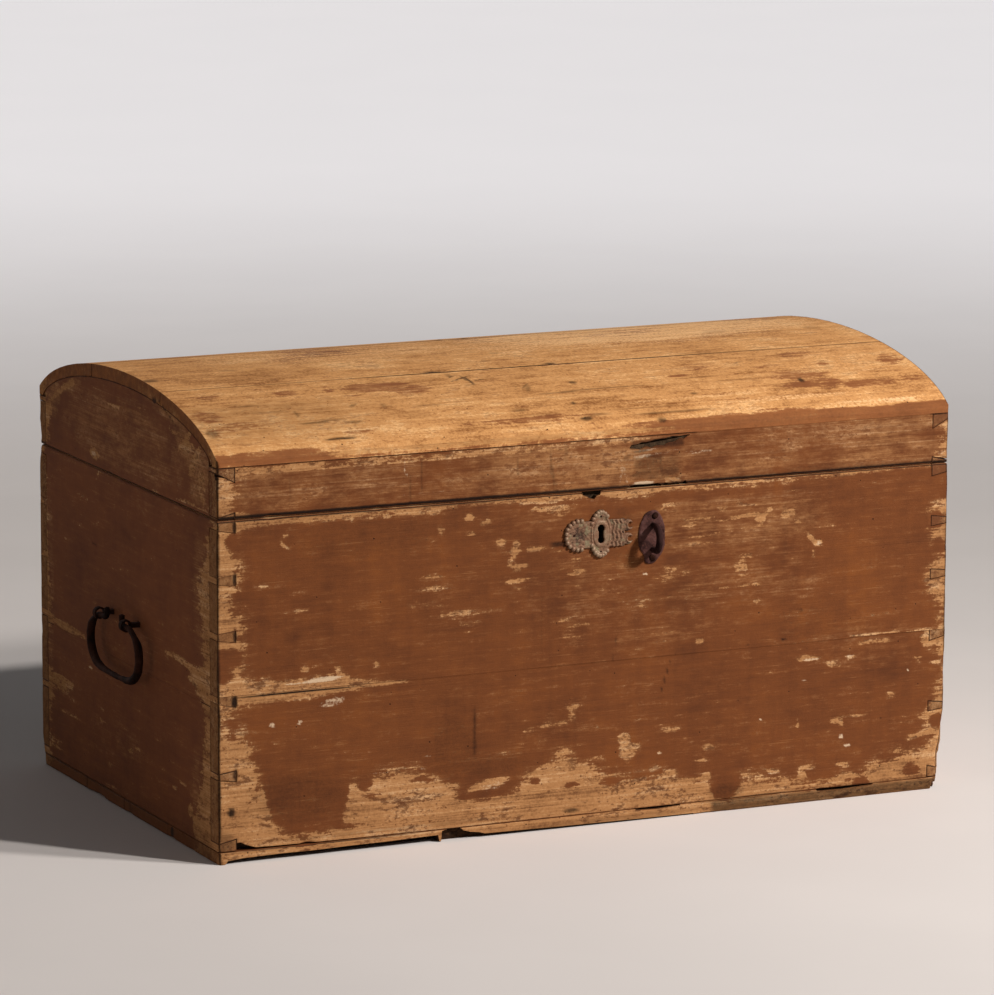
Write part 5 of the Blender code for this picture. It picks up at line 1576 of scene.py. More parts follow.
@dataclass
class Carpentry:
    """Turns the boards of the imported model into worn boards."""

    finishes: Finishes
    weathering: Weathering
    step: float = 0.004
    close_step: float = 0.0018
    fine: Sequence[float] = (0.0010, 0.0024, 0.0042, 0.0066)
    chamfer: float = 0.0008
    bridged: Sequence[PaintBridge] = (
        PaintBridge(0, 0.2195, -0.262, 0.385), PaintBridge(0, 0.5148, 0.15, 0.500),
        PaintBridge(1, 0.2035, -0.262, 0.27))
    bridge_reach: float = 0.0011
    bridge_pull: float = 0.9
    dome_reach: float = 0.0032
    fold_reach: float = 0.0010
    fold: float = 0.0012
    bore_half: tuple[float, float] = (0.009, 0.016)
    bore_ends: tuple[float, float] = (-0.3196, -0.290)
    outer_band: float = 0.0022
    quick_step: float = 2.2

    def board(self, node: str, body: str, grain: Grain, bounds: Bounds, gouges: Sequence[Gouge] = (),
              coarse: float = 1.0, slot: str = "painted_pine", on_dome: bool = False,
              close_up: Sequence[tuple[int, float, float]] = ()) -> None:
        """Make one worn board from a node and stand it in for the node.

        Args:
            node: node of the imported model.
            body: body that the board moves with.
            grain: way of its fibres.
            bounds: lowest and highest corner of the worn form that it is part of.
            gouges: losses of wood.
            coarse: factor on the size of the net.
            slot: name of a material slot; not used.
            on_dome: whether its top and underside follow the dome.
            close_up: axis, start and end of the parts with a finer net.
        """
        work = Workpiece(node)
        work.take_away(gouges)
        work.ease_edges(self.chamfer, self.at_joint)
        lowest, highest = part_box(node)
        step = self.step * coarse * 1.0
        for axis in range(3):
            fine = self.fine if highest[axis] - lowest[axis] > 0.03 else self.fine[:2]
            cuts = net_places(lowest[axis], highest[axis], step, fine)
            for part, start, end in close_up:
                if part == axis:
                    cuts = sorted(cuts + list(np.arange(start, end, self.close_step) + 0.0001))
            work.cut_net(axis, cuts)
        mesh = work.mesh(node + "_worn")
        if on_dome:
            self.follow_dome(mesh)
        self.mark_points(mesh, gouges)
        self.mark_faces(mesh, grain)
        self.weathering.wear_down(mesh, bounds)
        self.close_joints(mesh)
        show(mesh, node + "_worn", body, self.finishes.painted(grain, on_dome), [node])

    def at_joint(self, middle: Vector) -> bool:
        """Say whether an edge is at the joint between two boards."""
        return abs(middle.z - FORM.board_joint) < 0.0012 and abs(middle.y) > FORM.half_depth - 0.001

    def close_joints(self, mesh: bpy.types.Mesh) -> None:
        """Let the paint bridge the joints where they aren't cracked.

        Args:
            mesh: mesh of a board.
        """
        places = vectors(mesh.vertices, "co")
        for bridge in self.bridged:
            near = bridge.holds(places, self.bridge_reach)
            places[near, 2] += (bridge.joint - places[near, 2]) * self.bridge_pull
        place_corners(mesh, places)

    def follow_dome(self, mesh: bpy.types.Mesh) -> None:
        """Bring a stave's points onto the true curve of the dome.

        Args:
            mesh: mesh of a stave.
        """
        places = vectors(mesh.vertices, "co")
        outer = FORM.dome(places[:, 1])
        inner = FORM.dome(places[:, 1], FORM.stave_thickness)
        above = places[:, 2] > FORM.skirt_top + self.fold
        at_fold = np.abs(places[:, 1]) > FORM.half_depth - self.fold
        near_outer = above & (outer - places[:, 2] < np.where(at_fold, self.fold_reach, self.dome_reach))
        near_inner = above & (np.abs(places[:, 2] - inner) < self.dome_reach) & ~near_outer
        places[near_outer, 2] = outer[near_outer]
        places[near_inner, 2] = inner[near_inner]
        place_corners(mesh, places)

    def mark_points(self, mesh: bpy.types.Mesh, gouges: Sequence[Gouge]) -> None:
        """Store the wear of each point, with painted shade in its gouges and the keyhole's bore.

        Args:
            mesh: mesh of a board.
            gouges: its losses of wood.
        """
        places = vectors(mesh.vertices, "co")
        wear = self.weathering.wear(places)
        for gouge in gouges:
            hollow = gouge.holds(places)
            wear.bare[hollow] = 0.8
            # Painted shade: the hollow is darkened as if in shadow.
            wear.grime_and_shade[hollow] = 0.85
        # Painted shade: the keyhole's bore is painted black.
        bore = (np.abs(places[:, 0] - FORM.keyhole[0]) < self.bore_half[0]) & (
            np.abs(places[:, 2] - FORM.keyhole[1]) < self.bore_half[1])
        wear.grime_and_shade[bore & (places[:, 1] > self.bore_ends[0]) & (places[:, 1] < self.bore_ends[1])] = 1.0
        for name in LAYERS:
            add_values(mesh, name, getattr(wear, name))

    def mark_faces(self, mesh: bpy.types.Mesh, grain: Grain) -> None:
        """Store which faces are broken edges, which show end grain and which look into the chest.

        Args:
            mesh: mesh of a board.
            grain: way of its fibres.
        """
        normals, middles = vectors(mesh.polygons, "normal"), vectors(mesh.polygons, "center")
        along, across, up = np.abs(middles[:, 0]), np.abs(middles[:, 1]), middles[:, 2]
        groove = np.empty(len(middles), np.float32)
        mesh.attributes["groove"].data.foreach_get("value", groove)
        for bridge in self.bridged:
            groove[bridge.holds(middles, 0.0014)] = 0.45 if bridge.joint > FORM.rim else 0.0
        groove[(up > FORM.skirt_top + 0.0050) & (across > FORM.half_depth - 0.004)] = 0.0
        mesh.attributes["groove"].data.foreach_set("value", groove)
        add_values(mesh, "end_grain", (np.abs(normals[:, grain.value]) > 0.7).astype(float), "FACE")
        outer = (along > FORM.half_length - self.outer_band) | (across > FORM.half_depth - self.outer_band)
        within = (along < FORM.half_length - FORM.end_thickness) & (
            across < FORM.half_depth - FORM.side_thickness)
        outer |= (up > FORM.dome(middles[:, 1]) - 0.004) | (
            (up < FORM.bottom_top) & ~(within & (normals[:, 2] > 0.7)))
        add_values(mesh, "inside", (~outer).astype(float), "FACE")


@dataclass
class BoxOfBoards:
    """The walls of the box."""

    carpentry: Carpentry
    foot_gap: Line = (
        (-507, 10), (-507, 27), (-499, 27.4), (-493, 24), (-486, 21.5), (-478, 19), (-455, 18.4), (-400, 17.6),
        (-330, 17.0), (-250, 16.8), (-250, 10))
    rim_notch: Line = (
        (-17, 452), (-15, 443), (-9, 441), (-6, 438.5), (1, 437), (4, 441), (9, 442.4), (14, 452))
    rear_chip: Line = ((330, 452), (312, 452), (310.5, 446), (313, 441), (317, 436.5), (330, 433))

    def build(self) -> None:
        """Make the eight boards."""
        notch, gap = Gouge(1, self.rim_notch, -330, -311), Gouge(1, self.foot_gap, -330, -306)
        chip = Gouge(0, self.rear_chip, -540, -513)
        for side, grain, upper, lower, coarse in (
                ("front", Grain.ALONG_CHEST, [notch], [gap], 1.0),
                ("back", Grain.ALONG_CHEST, [chip], [], 2.0),
                ("left_end", Grain.ACROSS_CHEST, [chip], [], 1.0),
                ("right_end", Grain.ACROSS_CHEST, [], [], 1.6)):
            for part, gouges in (("upper", upper), ("lower", lower)):
                self.carpentry.board(f"{side}_{part}_board", "box", grain, FORM.box_bounds, gouges, coarse)


@dataclass
class BottomPlanks:
    """The planks under the box, whose front edge has split and worn."""

    carpentry: Carpentry
    losses: Sequence[Line] = (
        ((-218, -4), (-216, 14), (-208, 16.4), (-190, 16.2), (-186, 12), (-176, 9), (-162, 7), (-150, 3),
         (-132, -4)),
        ((512, -4), (514, 3), (522, 7), (536, 9), (536, -4)),
        ((-160, -4), (-156, 4.5), (-110, 4), (-40, 3), (40, 2.2), (150, 1.6), (160, -4)),
        ((60, 20), (66, 14.2), (96, 13.0), (130, 14.6), (138, 20)),
        ((330, 20), (338, 13.4), (372, 12.4), (420, 14.4), (431, 20)))
    rot: Line = (
        (-523, -4), (-517, 4.6), (-496, 6.4), (-440, 7.2), (-400, 6.8), (-350, 7.6), (-300, 7.8), (-262, 8.6),
        (-222, 9.2), (-219, -4))

    def build(self) -> None:
        """Make the four planks."""
        losses = [Gouge(1, line, -330, -309) for line in self.losses] + [Gouge(1, self.rot, -330, -298)]
        for number, gouges, coarse in ((1, losses, 1.0), (2, [], 2.4), (3, [], 2.4), (4, [], 2.4)):
            self.carpentry.board(f"bottom_plank_{number}", "box", Grain.ALONG_CHEST, FORM.bottom_bounds,
                                 gouges, coarse, "bare_pine")


@dataclass
class DomedLid:
    """The skirt of the lid and the staves on it."""

    carpentry: Carpentry
    crack: Line = (
        (52, 500.4), (55, 504.5), (62, 504.2), (70, 507.2), (80, 506.6), (88, 509.6), (104, 510.4),
        (114, 512.4), (124, 511.6), (140, 513), (131, 507.8), (126, 509), (118, 504.6), (108, 504),
        (102, 500.6), (92, 501.6), (84, 499), (76, 501.6), (68, 498), (60, 499))
    crack_heart: Line = (
        (58, 504), (70, 506.4), (88, 508), (104, 509.4), (124, 511.2), (136, 511.4), (118, 508.8), (104, 507),
        (88, 505.4), (72, 504.4))
    foot_break: Line = (
        (50, 440), (52, 449.6), (60, 451.4), (78, 450.6), (94, 451.2), (99, 449.2), (102, 448.6), (104, 451),
        (110, 449.4), (130, 449.8), (134, 452.4), (138, 448.4), (140, 440))
    corner_split: Line = (
        (508, 456), (516, 455.4), (526, 453.4), (536, 451), (536, 448.6), (524, 452), (512, 454.2))
    split_end: Line = (
        (-536, 506), (-528, 507.6), (-516, 503), (-508, 500.6), (-514, 501), (-528, 504.6), (-536, 504))
    rear_chip: Line = ((330, 473), (318.5, 471), (315, 466.5), (316.5, 461), (319, 458), (330, 457))
    crack_close_up: Sequence[tuple[int, float, float]] = ((0, 0.028, 0.150), (2, 0.4560, 0.5060))

    def build(self) -> None:
        """Make the skirt and the staves."""
        front = [Gouge(1, line, -330, depth) for line, depth in (
            (self.crack, -317.6), (self.crack_heart, -309), (self.foot_break, -306), (self.corner_split, -312),
            (self.split_end, -313))]
        chip = Gouge(0, self.rear_chip, -540, -514)
        board, bounds = self.carpentry.board, FORM.lid_bounds
        board("lid_front_board", "lid", Grain.ALONG_CHEST, bounds, front, close_up=self.crack_close_up)
        board("lid_back_board", "lid", Grain.ALONG_CHEST, bounds, [chip], 2.0)
        board("lid_left_end", "lid", Grain.ACROSS_CHEST, bounds, [chip])
        board("lid_right_end", "lid", Grain.ACROSS_CHEST, bounds, coarse=1.6)
        for place, coarse in (("front", 1.0), ("middle", 1.2), ("rear", 1.8)):
            board(f"lid_{place}_stave", "lid", Grain.ALONG_CHEST, bounds, coarse=coarse, slot="bare_pine",
                  on_dome=True)


@dataclass
class Till:
    """The small tray across the left end, with its own lid."""

    carpentry: Carpentry

    def build(self) -> None:
        """Dress the boards of the tray and the two pins of its lid."""
        for node, body in (("till_front", "box"), ("till_floor", "box"), ("till_lid", "till_cover")):
            self.carpentry.board(node, body, Grain.ACROSS_CHEST, FORM.box_bounds, coarse=2.0,
                                 slot="inner_pine")
        for node in ("till_lid_front_pin", "till_lid_back_pin"):
            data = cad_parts[node].data
            data.materials.clear()
            data.materials.append(self.carpentry.finishes.clean)


# Iron and castings


def outline_distance(places: Points, outline: Points) -> Values:
    """Return how far places lie from a closed outline; inside it the value is negative.

    Args:
        places: places on a face, one row each.
        outline: corners of the outline.

    Returns:
        The distances.
    """
    best = np.full(len(places), np.inf)
    inside = np.zeros(len(places), bool)
    for start, end in zip(outline, np.roll(outline, -1, axis=0)):
        edge = end - start
        off = places - start
        share = np.clip(off @ edge / (edge @ edge), 0, 1)
        best = np.minimum(best, np.linalg.norm(off - share[:, None] * edge, axis=1))
        if start[1] != end[1]:
            level = (start[1] > places[:, 1]) != (end[1] > places[:, 1])
            inside ^= level & (places[:, 0] < start[0] + off[:, 1] * edge[0] / edge[1])
    return np.where(inside, -best, best)


def smooth_line(corners: Sequence[Sequence[float]], count: int, closed: bool = False) -> Points:
    """Return points on a smooth line through corners.

    Args:
        corners: points that the line passes.
        count: number of steps between two corners.
        closed: whether the line returns to its start.

    Returns:
        The points, one row each.
    """
    known = np.array(corners, float)
    if closed:
        known = np.vstack([known[-1], known, known[:2]])
    else:
        known = np.vstack([2 * known[0] - known[1], known, 2 * known[-1] - known[-2]])
    points = []
    for index in range(1, len(known) - 2):
        before, start, end, after = known[index - 1:index + 3]
        for step in range(count):
            t = step / count
            points.append(0.5 * (2 * start + (end - before) * t
                                 + (2 * before - 5 * start + 4 * end - after) * t ** 2
                                 + (3 * start - before - 3 * end + after) * t ** 3))
    if not closed:
        points.append(known[-2])
    return np.array(points)


@dataclass
class ReliefPlate:
    """A plate on the front whose face is a relief, made on a fine net."""

    low: tuple[float, float]
    high: tuple[float, float]
    distance: Callable[[Points], Values]
    height: Callable[[Points, Values], Values]
    seat: float
    step: float = 0.0005
    crest_start: float = 0.0008
    crest_range: float = 0.0030

    def mesh(self, name: str) -> bpy.types.Mesh:
        """Make the plate's mesh, which carries the height of its relief.

        Args:
            name: name of the mesh.

        Returns:
            The mesh.
        """
        step = self.step * 1.0
        across = np.arange(self.low[0], self.high[0], step)
        up = np.arange(self.low[1], self.high[1], step)
        grid = np.stack(np.meshgrid(across, up, indexing="ij"), axis=-1)
        columns, rows = grid.shape[:2]
        gap = self.distance(grid.reshape(-1, 2)).reshape(columns, rows)
        slope = np.stack(np.gradient(gap, step), axis=-1)
        kept = (gap[:-1, :-1] + gap[1:, :-1] + gap[:-1, 1:] + gap[1:, 1:]) < 0
        uses = np.zeros((columns, rows), int)
        for dx in (0, 1):
            for dz in (0, 1):
                uses[dx:columns - 1 + dx, dz:rows - 1 + dz] += kept
        edge = (uses > 0) & (uses < 4)
        shift = np.clip(gap, -0.8 * step, 0.8 * step)[..., None] * slope
        shift /= np.maximum((slope ** 2).sum(axis=-1, keepdims=True), 0.2)
        places = np.where(edge[..., None], grid - shift, grid).reshape(-1, 2)
        height = self.height(places, np.where(edge, 0, gap).reshape(-1))
        number = np.full(columns * rows, -1)
        used = np.flatnonzero(uses.reshape(-1))
        number[used] = np.arange(len(used))
        face = np.column_stack([places[used, 0], self.seat - height[used], places[used, 1]])
        cells = np.argwhere(kept)
        first = cells[:, 0] * rows + cells[:, 1]
        quads = number[np.column_stack([first, first + rows, first + rows + 1, first + 1])]
        under, walls = self._rim(face, quads)
        mesh = bpy.data.meshes.new(name)
        mesh.from_pydata(face.tolist() + under, [], quads.tolist() + walls)
        crest = np.concatenate([height[used], np.zeros(len(under))])
        add_values(mesh, "crest", (crest - self.crest_start) / self.crest_range)
        return mesh

    def _rim(self, face: Points, quads: np.ndarray) -> tuple[list[Place], list[tuple[int, ...]]]:
        """Return what joins the relief's edge to the seat.

        Args:
            face: corners of the relief.
            quads: its faces, by the numbers of their corners.

        Returns:
            The corners on the seat and the faces of the walls.
        """
        sides = np.concatenate([quads[:, (side, (side + 1) % 4)] for side in range(4)])
        known = {tuple(side) for side in sides.tolist()}
        rim = [side for side in known if (side[1], side[0]) not in known]
        foot = {corner: len(face) + index for index, corner in enumerate(sorted({a for a, _ in rim}))}
        under = [(face[corner, 0], self.seat, face[corner, 2]) for corner in foot]
        return under, [(b, a, foot[a], foot[b]) for a, b in rim]


@dataclass
class Smithy:
    """Makes and dresses the iron of the chest."""

    finishes: Finishes
    noise: Noise = field(default_factory=lambda: Noise(23))
    chamfer: float = 0.0006
    dent_size: float = 0.009
    bar_sides: int = 22
    bar_dents: float = 0.008
    bar_swing: float = 0.20
    nail_rings: int = 6
    nail_sides: int = 20

    def forge(self, node: str, body: str, step: float = 0.003, dent: float = 0.0005) -> None:
        """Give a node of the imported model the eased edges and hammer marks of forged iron.

        Args:
            node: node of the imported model.
            body: body that it moves with.
            step: size of the net.
            dent: depth of the hammer marks.
        """
        work = Workpiece(node)
        work.ease_edges(self.chamfer, lambda middle: False)
        low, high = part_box(node)
        for axis in range(3):
            count = max(1, round((high[axis] - low[axis]) / (step * 1)))
            work.cut_net(axis, list(np.linspace(low[axis], high[axis], count + 1)[1:-1]))
        mesh = work.mesh(node + "_forged")
        places, normals = vectors(mesh.vertices, "co"), vectors(mesh.vertices, "normal")
        depth = dent * smooth(self.noise.at(places, self.dent_size), 0.3, 0.75)
        place_corners(mesh, places - normals * depth[:, None])
        show(mesh, node + "_forged", body, self.finishes.iron, [node])

    def bar(self, name: str, line: Points, wide: Values, thick: Values) -> bpy.types.Mesh:
        """Make a bar forged round along a line, with its hammer marks.

        Args:
            name: name of the mesh.
            line: points of its middle line.
            wide: half its width at each point.
            thick: half its thickness at each point.

        Returns:
            The bar's mesh.
        """
        bm = bmesh.new()
        ahead = np.gradient(line, axis=0)
        ahead /= np.linalg.norm(ahead, axis=1, keepdims=True)
        side = np.cross(ahead[0], (0.31, 0.77, 0.55))
        turn = np.linspace(0, 2 * math.pi, self.bar_sides, endpoint=False)
        cosines, sines = np.cos(turn)[:, None], np.sin(turn)[:, None]
        rings = []
        for index, middle in enumerate(line):
            side = side - ahead[index] * (side @ ahead[index])
            side /= np.linalg.norm(side)
            other = np.cross(ahead[index], side)
            ring = middle + wide[index] * cosines * side + thick[index] * sines * other
            bump = 1 + self.bar_swing * (self.noise.at(ring, self.bar_dents) - 0.5)
            ring = middle + (ring - middle) * bump[:, None]
            rings.append([bm.verts.new(place) for place in ring])
        join_rings(bm, rings)
        for ring, middle, toward in ((rings[0], line[0], -ahead[0]), (rings[-1], line[-1], ahead[-1])):
            fan(bm, ring, bm.verts.new(middle + toward * 0.5 * thick[0]))
        bmesh.ops.recalc_face_normals(bm, faces=bm.faces)
        return mesh_of(bm, name)

    def nails(self, name: str, body: str, places: Sequence[tuple[Place, Place]], radius: float,
              height: float) -> None:
        """Drive nails with hammered heads.

        Args:
            name: name of the piece that holds them all.
            body: body that they move with.
            places: for each nail the foot of its head and the way it faces.
            radius: radius of a head.
            height: height of a head.
        """
        bm = bmesh.new()
        for foot, facing in places:
            matrix = Vector(facing).to_track_quat("Z", "Y").to_matrix()
            seed = np.array(foot)
            circles = []
            for ring in range(self.nail_rings):
                angle = math.pi / 2 * ring / self.nail_rings
                reach, rise = radius * math.cos(angle), height * math.sin(angle) ** 0.8
                circle = []
                for index in range(self.nail_sides):
                    turn = 2 * math.pi * index / self.nail_sides
                    spread = reach * (1 + 0.10 * math.sin(2 * turn + 900 * seed.sum()))
                    flat = rise * (1 - 0.25 * math.cos(turn + 700 * seed[0]) * (ring / self.nail_rings))
                    local = Vector((spread * math.cos(turn), spread * math.sin(turn), flat))
                    circle.append(bm.verts.new(Vector(foot) + matrix @ local))
                circles.append(circle)
            top = bm.verts.new(Vector(foot) + matrix @ Vector((0, 0, height)))
            join_rings(bm, circles)
            fan(bm, circles[-1], top)
        show(mesh_of(bm, name), name, body, self.finishes.iron, sharp=60)


@dataclass
class KeyholePlate:
    """The cast plate round the keyhole: beaded lobe, tall oval, wavy ridges and two broken horns."""

    smithy: Smithy
    middle: tuple[float, float] = FORM.keyhole
    seat: float = -0.3203
    plate: float = 0.0015
    oval: tuple[float, float] = (0.0150, 0.0290)
    lobe_radius: float = 0.0192
    lobe_offset: float = 0.0312
    block_end: float = 0.0350
    block_half: float = 0.0180
    ridge_start: float = 0.0160
    ridge_spacing: float = 0.0056
    horn_radius: float = 0.0078
    horn_bore: float = 0.0040
    horn_spread: float = 0.0090
    bead: float = 0.0032
    collar: tuple[float, float] = (0.0118, 0.0172)
    hole_half: float = 0.0125
    hole_head: float = 0.0052
    hole_foot: float = 0.0048
    hole_slot: float = 0.0038
    pins: Line = ((-0.0385, 0.0005), (0.0, 0.0236), (0.0, -0.0236), (0.0315, 0.0))
    pin_radius: float = 0.0015
    pin_height: float = 0.0008
    noise: Noise = field(default_factory=lambda: Noise(31))

    def bead_places(self) -> Points:
        """Return the middles of the beads along the edges of the lobe and the oval.

        Returns:
            The places, one row each.
        """
        places = [(-self.lobe_offset + self.lobe_radius * math.cos(angle), self.lobe_radius * math.sin(angle))
                  for angle in np.radians(np.linspace(80, 280, 12))]
        for sign in (-1, 1):
            places += [(self.oval[0] * math.cos(angle), sign * self.oval[1] * math.sin(angle))
                       for angle in np.radians(np.linspace(52, 150, 8))]
        return np.array(places)

    def hole(self, spot: Points) -> Values:
        """Return the distance from the keyhole's edge, positive outside it.

        Args:
            spot: places as seen from the middle of the keyhole.

        Returns:
            The distances.
        """
        head = np.hypot(spot[:, 0], spot[:, 1] - self.hole_half + self.hole_head) - self.hole_head
        foot = np.hypot(spot[:, 0], spot[:, 1] + self.hole_half - self.hole_foot) - self.hole_foot
        slot = np.maximum(np.abs(spot[:, 0]) - self.hole_slot,
                          np.abs(spot[:, 1]) - self.hole_half + self.hole_head)
        return np.minimum.reduce([head, foot, slot])

    def oval_distance(self, spot: Points, half: tuple[float, float]) -> Values:
        """Return the rough distance from an oval's edge, negative inside."""
        return (np.hypot(spot[:, 0] / half[0], spot[:, 1] / half[1]) - 1) * min(half)

    def distance(self, places: Points) -> Values:
        """Return the distance from the plate's edge, negative on the plate.

        Args:
            places: places on the front.

        Returns:
            The distances.
        """
        spot = places - np.array(self.middle)
        x, z = spot.T
        lobe = np.hypot(x + self.lobe_offset, z) - self.lobe_radius
        neck = np.maximum(np.abs(x + self.lobe_offset / 2) - self.lobe_offset / 2,
                          np.abs(z) - self.lobe_radius * 0.93)
        block = np.maximum(np.abs(x - self.block_end / 2) - self.block_end / 2, np.abs(z) - self.block_half)
        parts = [self.oval_distance(spot, self.oval), lobe, neck, block]
        middle = self.block_end + self.horn_bore
        for sign in (-1, 1):
            horn = np.hypot(x - middle, z - sign * self.horn_spread) - self.horn_radius
            bore = self.horn_bore - np.hypot(x - middle - self.horn_bore, z - sign * self.horn_spread)
            parts.append(np.maximum(horn, bore))
        for bead in self.bead_places():
            parts.append(np.hypot(*(spot - bead).T) - self.bead)
        ragged = (self.noise.at(np.column_stack([spot, x]), 0.004, 2) - 0.5) * 0.0011
        return np.maximum(np.minimum.reduce(parts) + ragged, -self.hole(spot))

    def height(self, places: Points, gap: Values) -> Values:
        """Return the height of the relief over the seat.

        Args:
            places: places on the plate.
            gap: their distances from its edge.

        Returns:
            The heights.
        """
        spot = places - np.array(self.middle)
        x, z = spot.T
        oval = self.oval_distance(spot, self.oval)
        rise = np.full(len(x), self.plate)
        dish = smooth(np.hypot(x + self.lobe_offset, z), 0.004, 0.016)
        rise += np.where(x < -0.013, (dish - 0.6) * 0.0008, 0)
        rough = self.noise.at(np.column_stack([spot, z]), 0.0032) - 0.5
        rise += rough * 0.0017
        wave = 0.0011 * np.sin(z / 0.0027 + 0.6) + 0.0004 * np.sin(z / 0.0011)
        ridge = 0.5 + 0.5 * np.cos((x - 0.0185 + wave) / self.ridge_spacing * 2 * math.pi)
        on_block = (x > self.ridge_start) & (x < self.block_end - 0.002) & (oval > 0.0008)
        rise += np.where(on_block, ridge * 0.0016, 0)
        middle = self.block_end + self.horn_bore
        for sign in (-1, 1):
            reach = np.hypot(x - middle, z - sign * self.horn_spread)
            hub = np.hypot(x - middle - self.horn_bore, z - sign * self.horn_spread)
            hub = smooth(hub, self.horn_bore + 0.0034, self.horn_bore + 0.001)
            rise += np.where(reach < self.horn_radius, hub, 0) * 0.0013
        rise += smooth(np.abs(oval + 0.0016), 0.0016, 0.0004) * 0.0009
        flat = smooth(self.oval_distance(spot, self.collar), 0.0012, -0.0010)
        rise = rise * (1 - flat) + flat * (self.plate + 0.0013 + rough * 0.0004)
        rise = np.where(oval > 0.0006, rise, rise + 0.0003)
        for bead in self.bead_places():
            reach = np.hypot(*(spot - bead).T)
            ball = np.sqrt(np.maximum(self.bead ** 2 - reach ** 2, 0)) * 0.85 + self.plate * 0.8
            rise = np.where(reach < self.bead, np.maximum(rise, ball), rise)
        return rise - smooth(gap, -0.0010, 0.0) * 0.0006

    def build(self) -> None:
        """Make the plate and its pins."""
        reach = (self.block_end + 0.016, self.oval[1] + 0.004)
        plate = ReliefPlate((self.middle[0] - 0.052, self.middle[1] - reach[1]),
                            (self.middle[0] + reach[0], self.middle[1] + reach[1]),
                            self.distance, self.height, self.seat)
        show(plate.mesh("keyhole_plate"), "keyhole_plate", "box", self.smithy.finishes.casting,
             ["escutcheon"], sharp=50)
        face = self.seat - self.plate - 0.0004
        pins = [((self.middle[0] + x, face, self.middle[1] + z), (0, -1, 0)) for x, z in self.pins]
        self.smithy.nails("keyhole_plate_pins", "box", pins, self.pin_radius, self.pin_height)


@dataclass
class PadlockStaple:
    """The leaf-shaped plate with its nails, and the loop that stands out of it."""

    smithy: Smithy
    middle: tuple[float, float] = (0.0850, 0.3805)
    size: tuple[float, float] = (0.0380, 0.0710)
    net_half: tuple[float, float] = (0.022, 0.038)
    shares: Line = (
        (0.10, 0.50), (0.30, 0.42), (0.47, 0.22), (0.50, -0.02), (0.46, -0.24), (0.26, -0.40), (0.04, -0.50),
        (-0.24, -0.47), (-0.30, -0.34), (-0.50, -0.14), (-0.50, 0.10), (-0.42, 0.28), (-0.22, 0.46))
    seat: float = -0.3203
    plate: float = 0.0016
    crown: float = 0.0012
    nail_places: Line = ((0.0035, 0.0285), (0.0000, -0.0275))
    nail_radius: float = 0.0046
    nail_height: float = 0.0024
    leg_spacing: float = 0.0330
    clench: float = 0.0045
    bar_radius: float = 0.0036
    noise: Noise = field(default_factory=lambda: Noise(37))

    def build(self) -> None:
        """Make the plate, its nails and the loop."""
        corners = np.array(self.middle) + np.array(self.shares) * self.size
        outline = smooth_line(corners, 8, closed=True)

        def distance(places: Points) -> Values:
            """Return the distance from the plate's edge, negative on the plate."""
            ragged = self.noise.at(np.column_stack([places, places[:, 0]]), 0.007) - 0.5
            return outline_distance(places, outline) + ragged * 0.0012

        (x, z), (half_x, half_z) = self.middle, self.net_half
        plate = ReliefPlate((x - half_x, z - half_z), (x + half_x, z + half_z), distance, self.height,
                            self.seat)
        show(plate.mesh("staple_leaf"), "staple_leaf", "box", self.smithy.finishes.maroon,
             ["staple_plate"], sharp=50)
        face = self.seat - self.plate - self.crown * 0.5
        nails = [((self.middle[0] + x, face, self.middle[1] + z), (0, -1, 0)) for x, z in self.nail_places]
        self.smithy.nails("staple_leaf_nails", "box", nails, self.nail_radius, self.nail_height)
        line = smooth_line(self.loop_corners(), 7)
        swell = smooth(-line[:, 1], 0.326, 0.343)
        mesh = self.smithy.bar("staple_bow", line, self.bar_radius * (1 + 0.25 * swell),
                               self.bar_radius * (1 + 0.50 * swell))
        # The loop's darker iron is partly painted shade.
        show(mesh, "staple_bow", "box", self.smithy.finishes.dark_and_shaded_bow, ["staple_loop"], sharp=60)

    def height(self, places: Points, gap: Values) -> Values:
        """Return the height of the plate over its seat.

        Args:
            places: places on the plate.
            gap: their distances from its edge.

        Returns:
            The heights.
        """
        dents = self.noise.at(np.column_stack([places, places[:, 1]]), 0.008) - 0.5
        crown = self.crown * smooth(-gap, 0, 0.012)
        return self.plate + crown + dents * 0.0016 - smooth(gap, -0.0016, 0.0) * 0.0009

    def loop_corners(self) -> list[Place]:
        """Return the points that the loop's middle line passes, from one clenched end to the other.

        Returns:
            The points.
        """
        x, z = self.middle
        half = self.leg_spacing / 2
        inside = -FORM.half_depth + FORM.side_thickness + self.clench
        return [(x, inside, z + half + 0.018), (x, inside, z + half + 0.006), (x, inside - 0.006, z + half),
                (x, -0.312, z + half), (x, -0.324, z + half), (x - 0.0003, -0.333, z + half - 0.0006),
                (x - 0.0010, -0.3420, z + half - 0.0045), (x - 0.0018, -0.3470, z + 0.0050),
                (x - 0.0022, -0.3476, z - 0.0050), (x - 0.0016, -0.3425, z - half + 0.0040),
                (x - 0.0006, -0.3335, z - half + 0.0004), (x, -0.324, z - half), (x, -0.312, z - half),
                (x, inside - 0.006, z - half), (x, inside, z - half - 0.006), (x, inside, z - half - 0.018)]


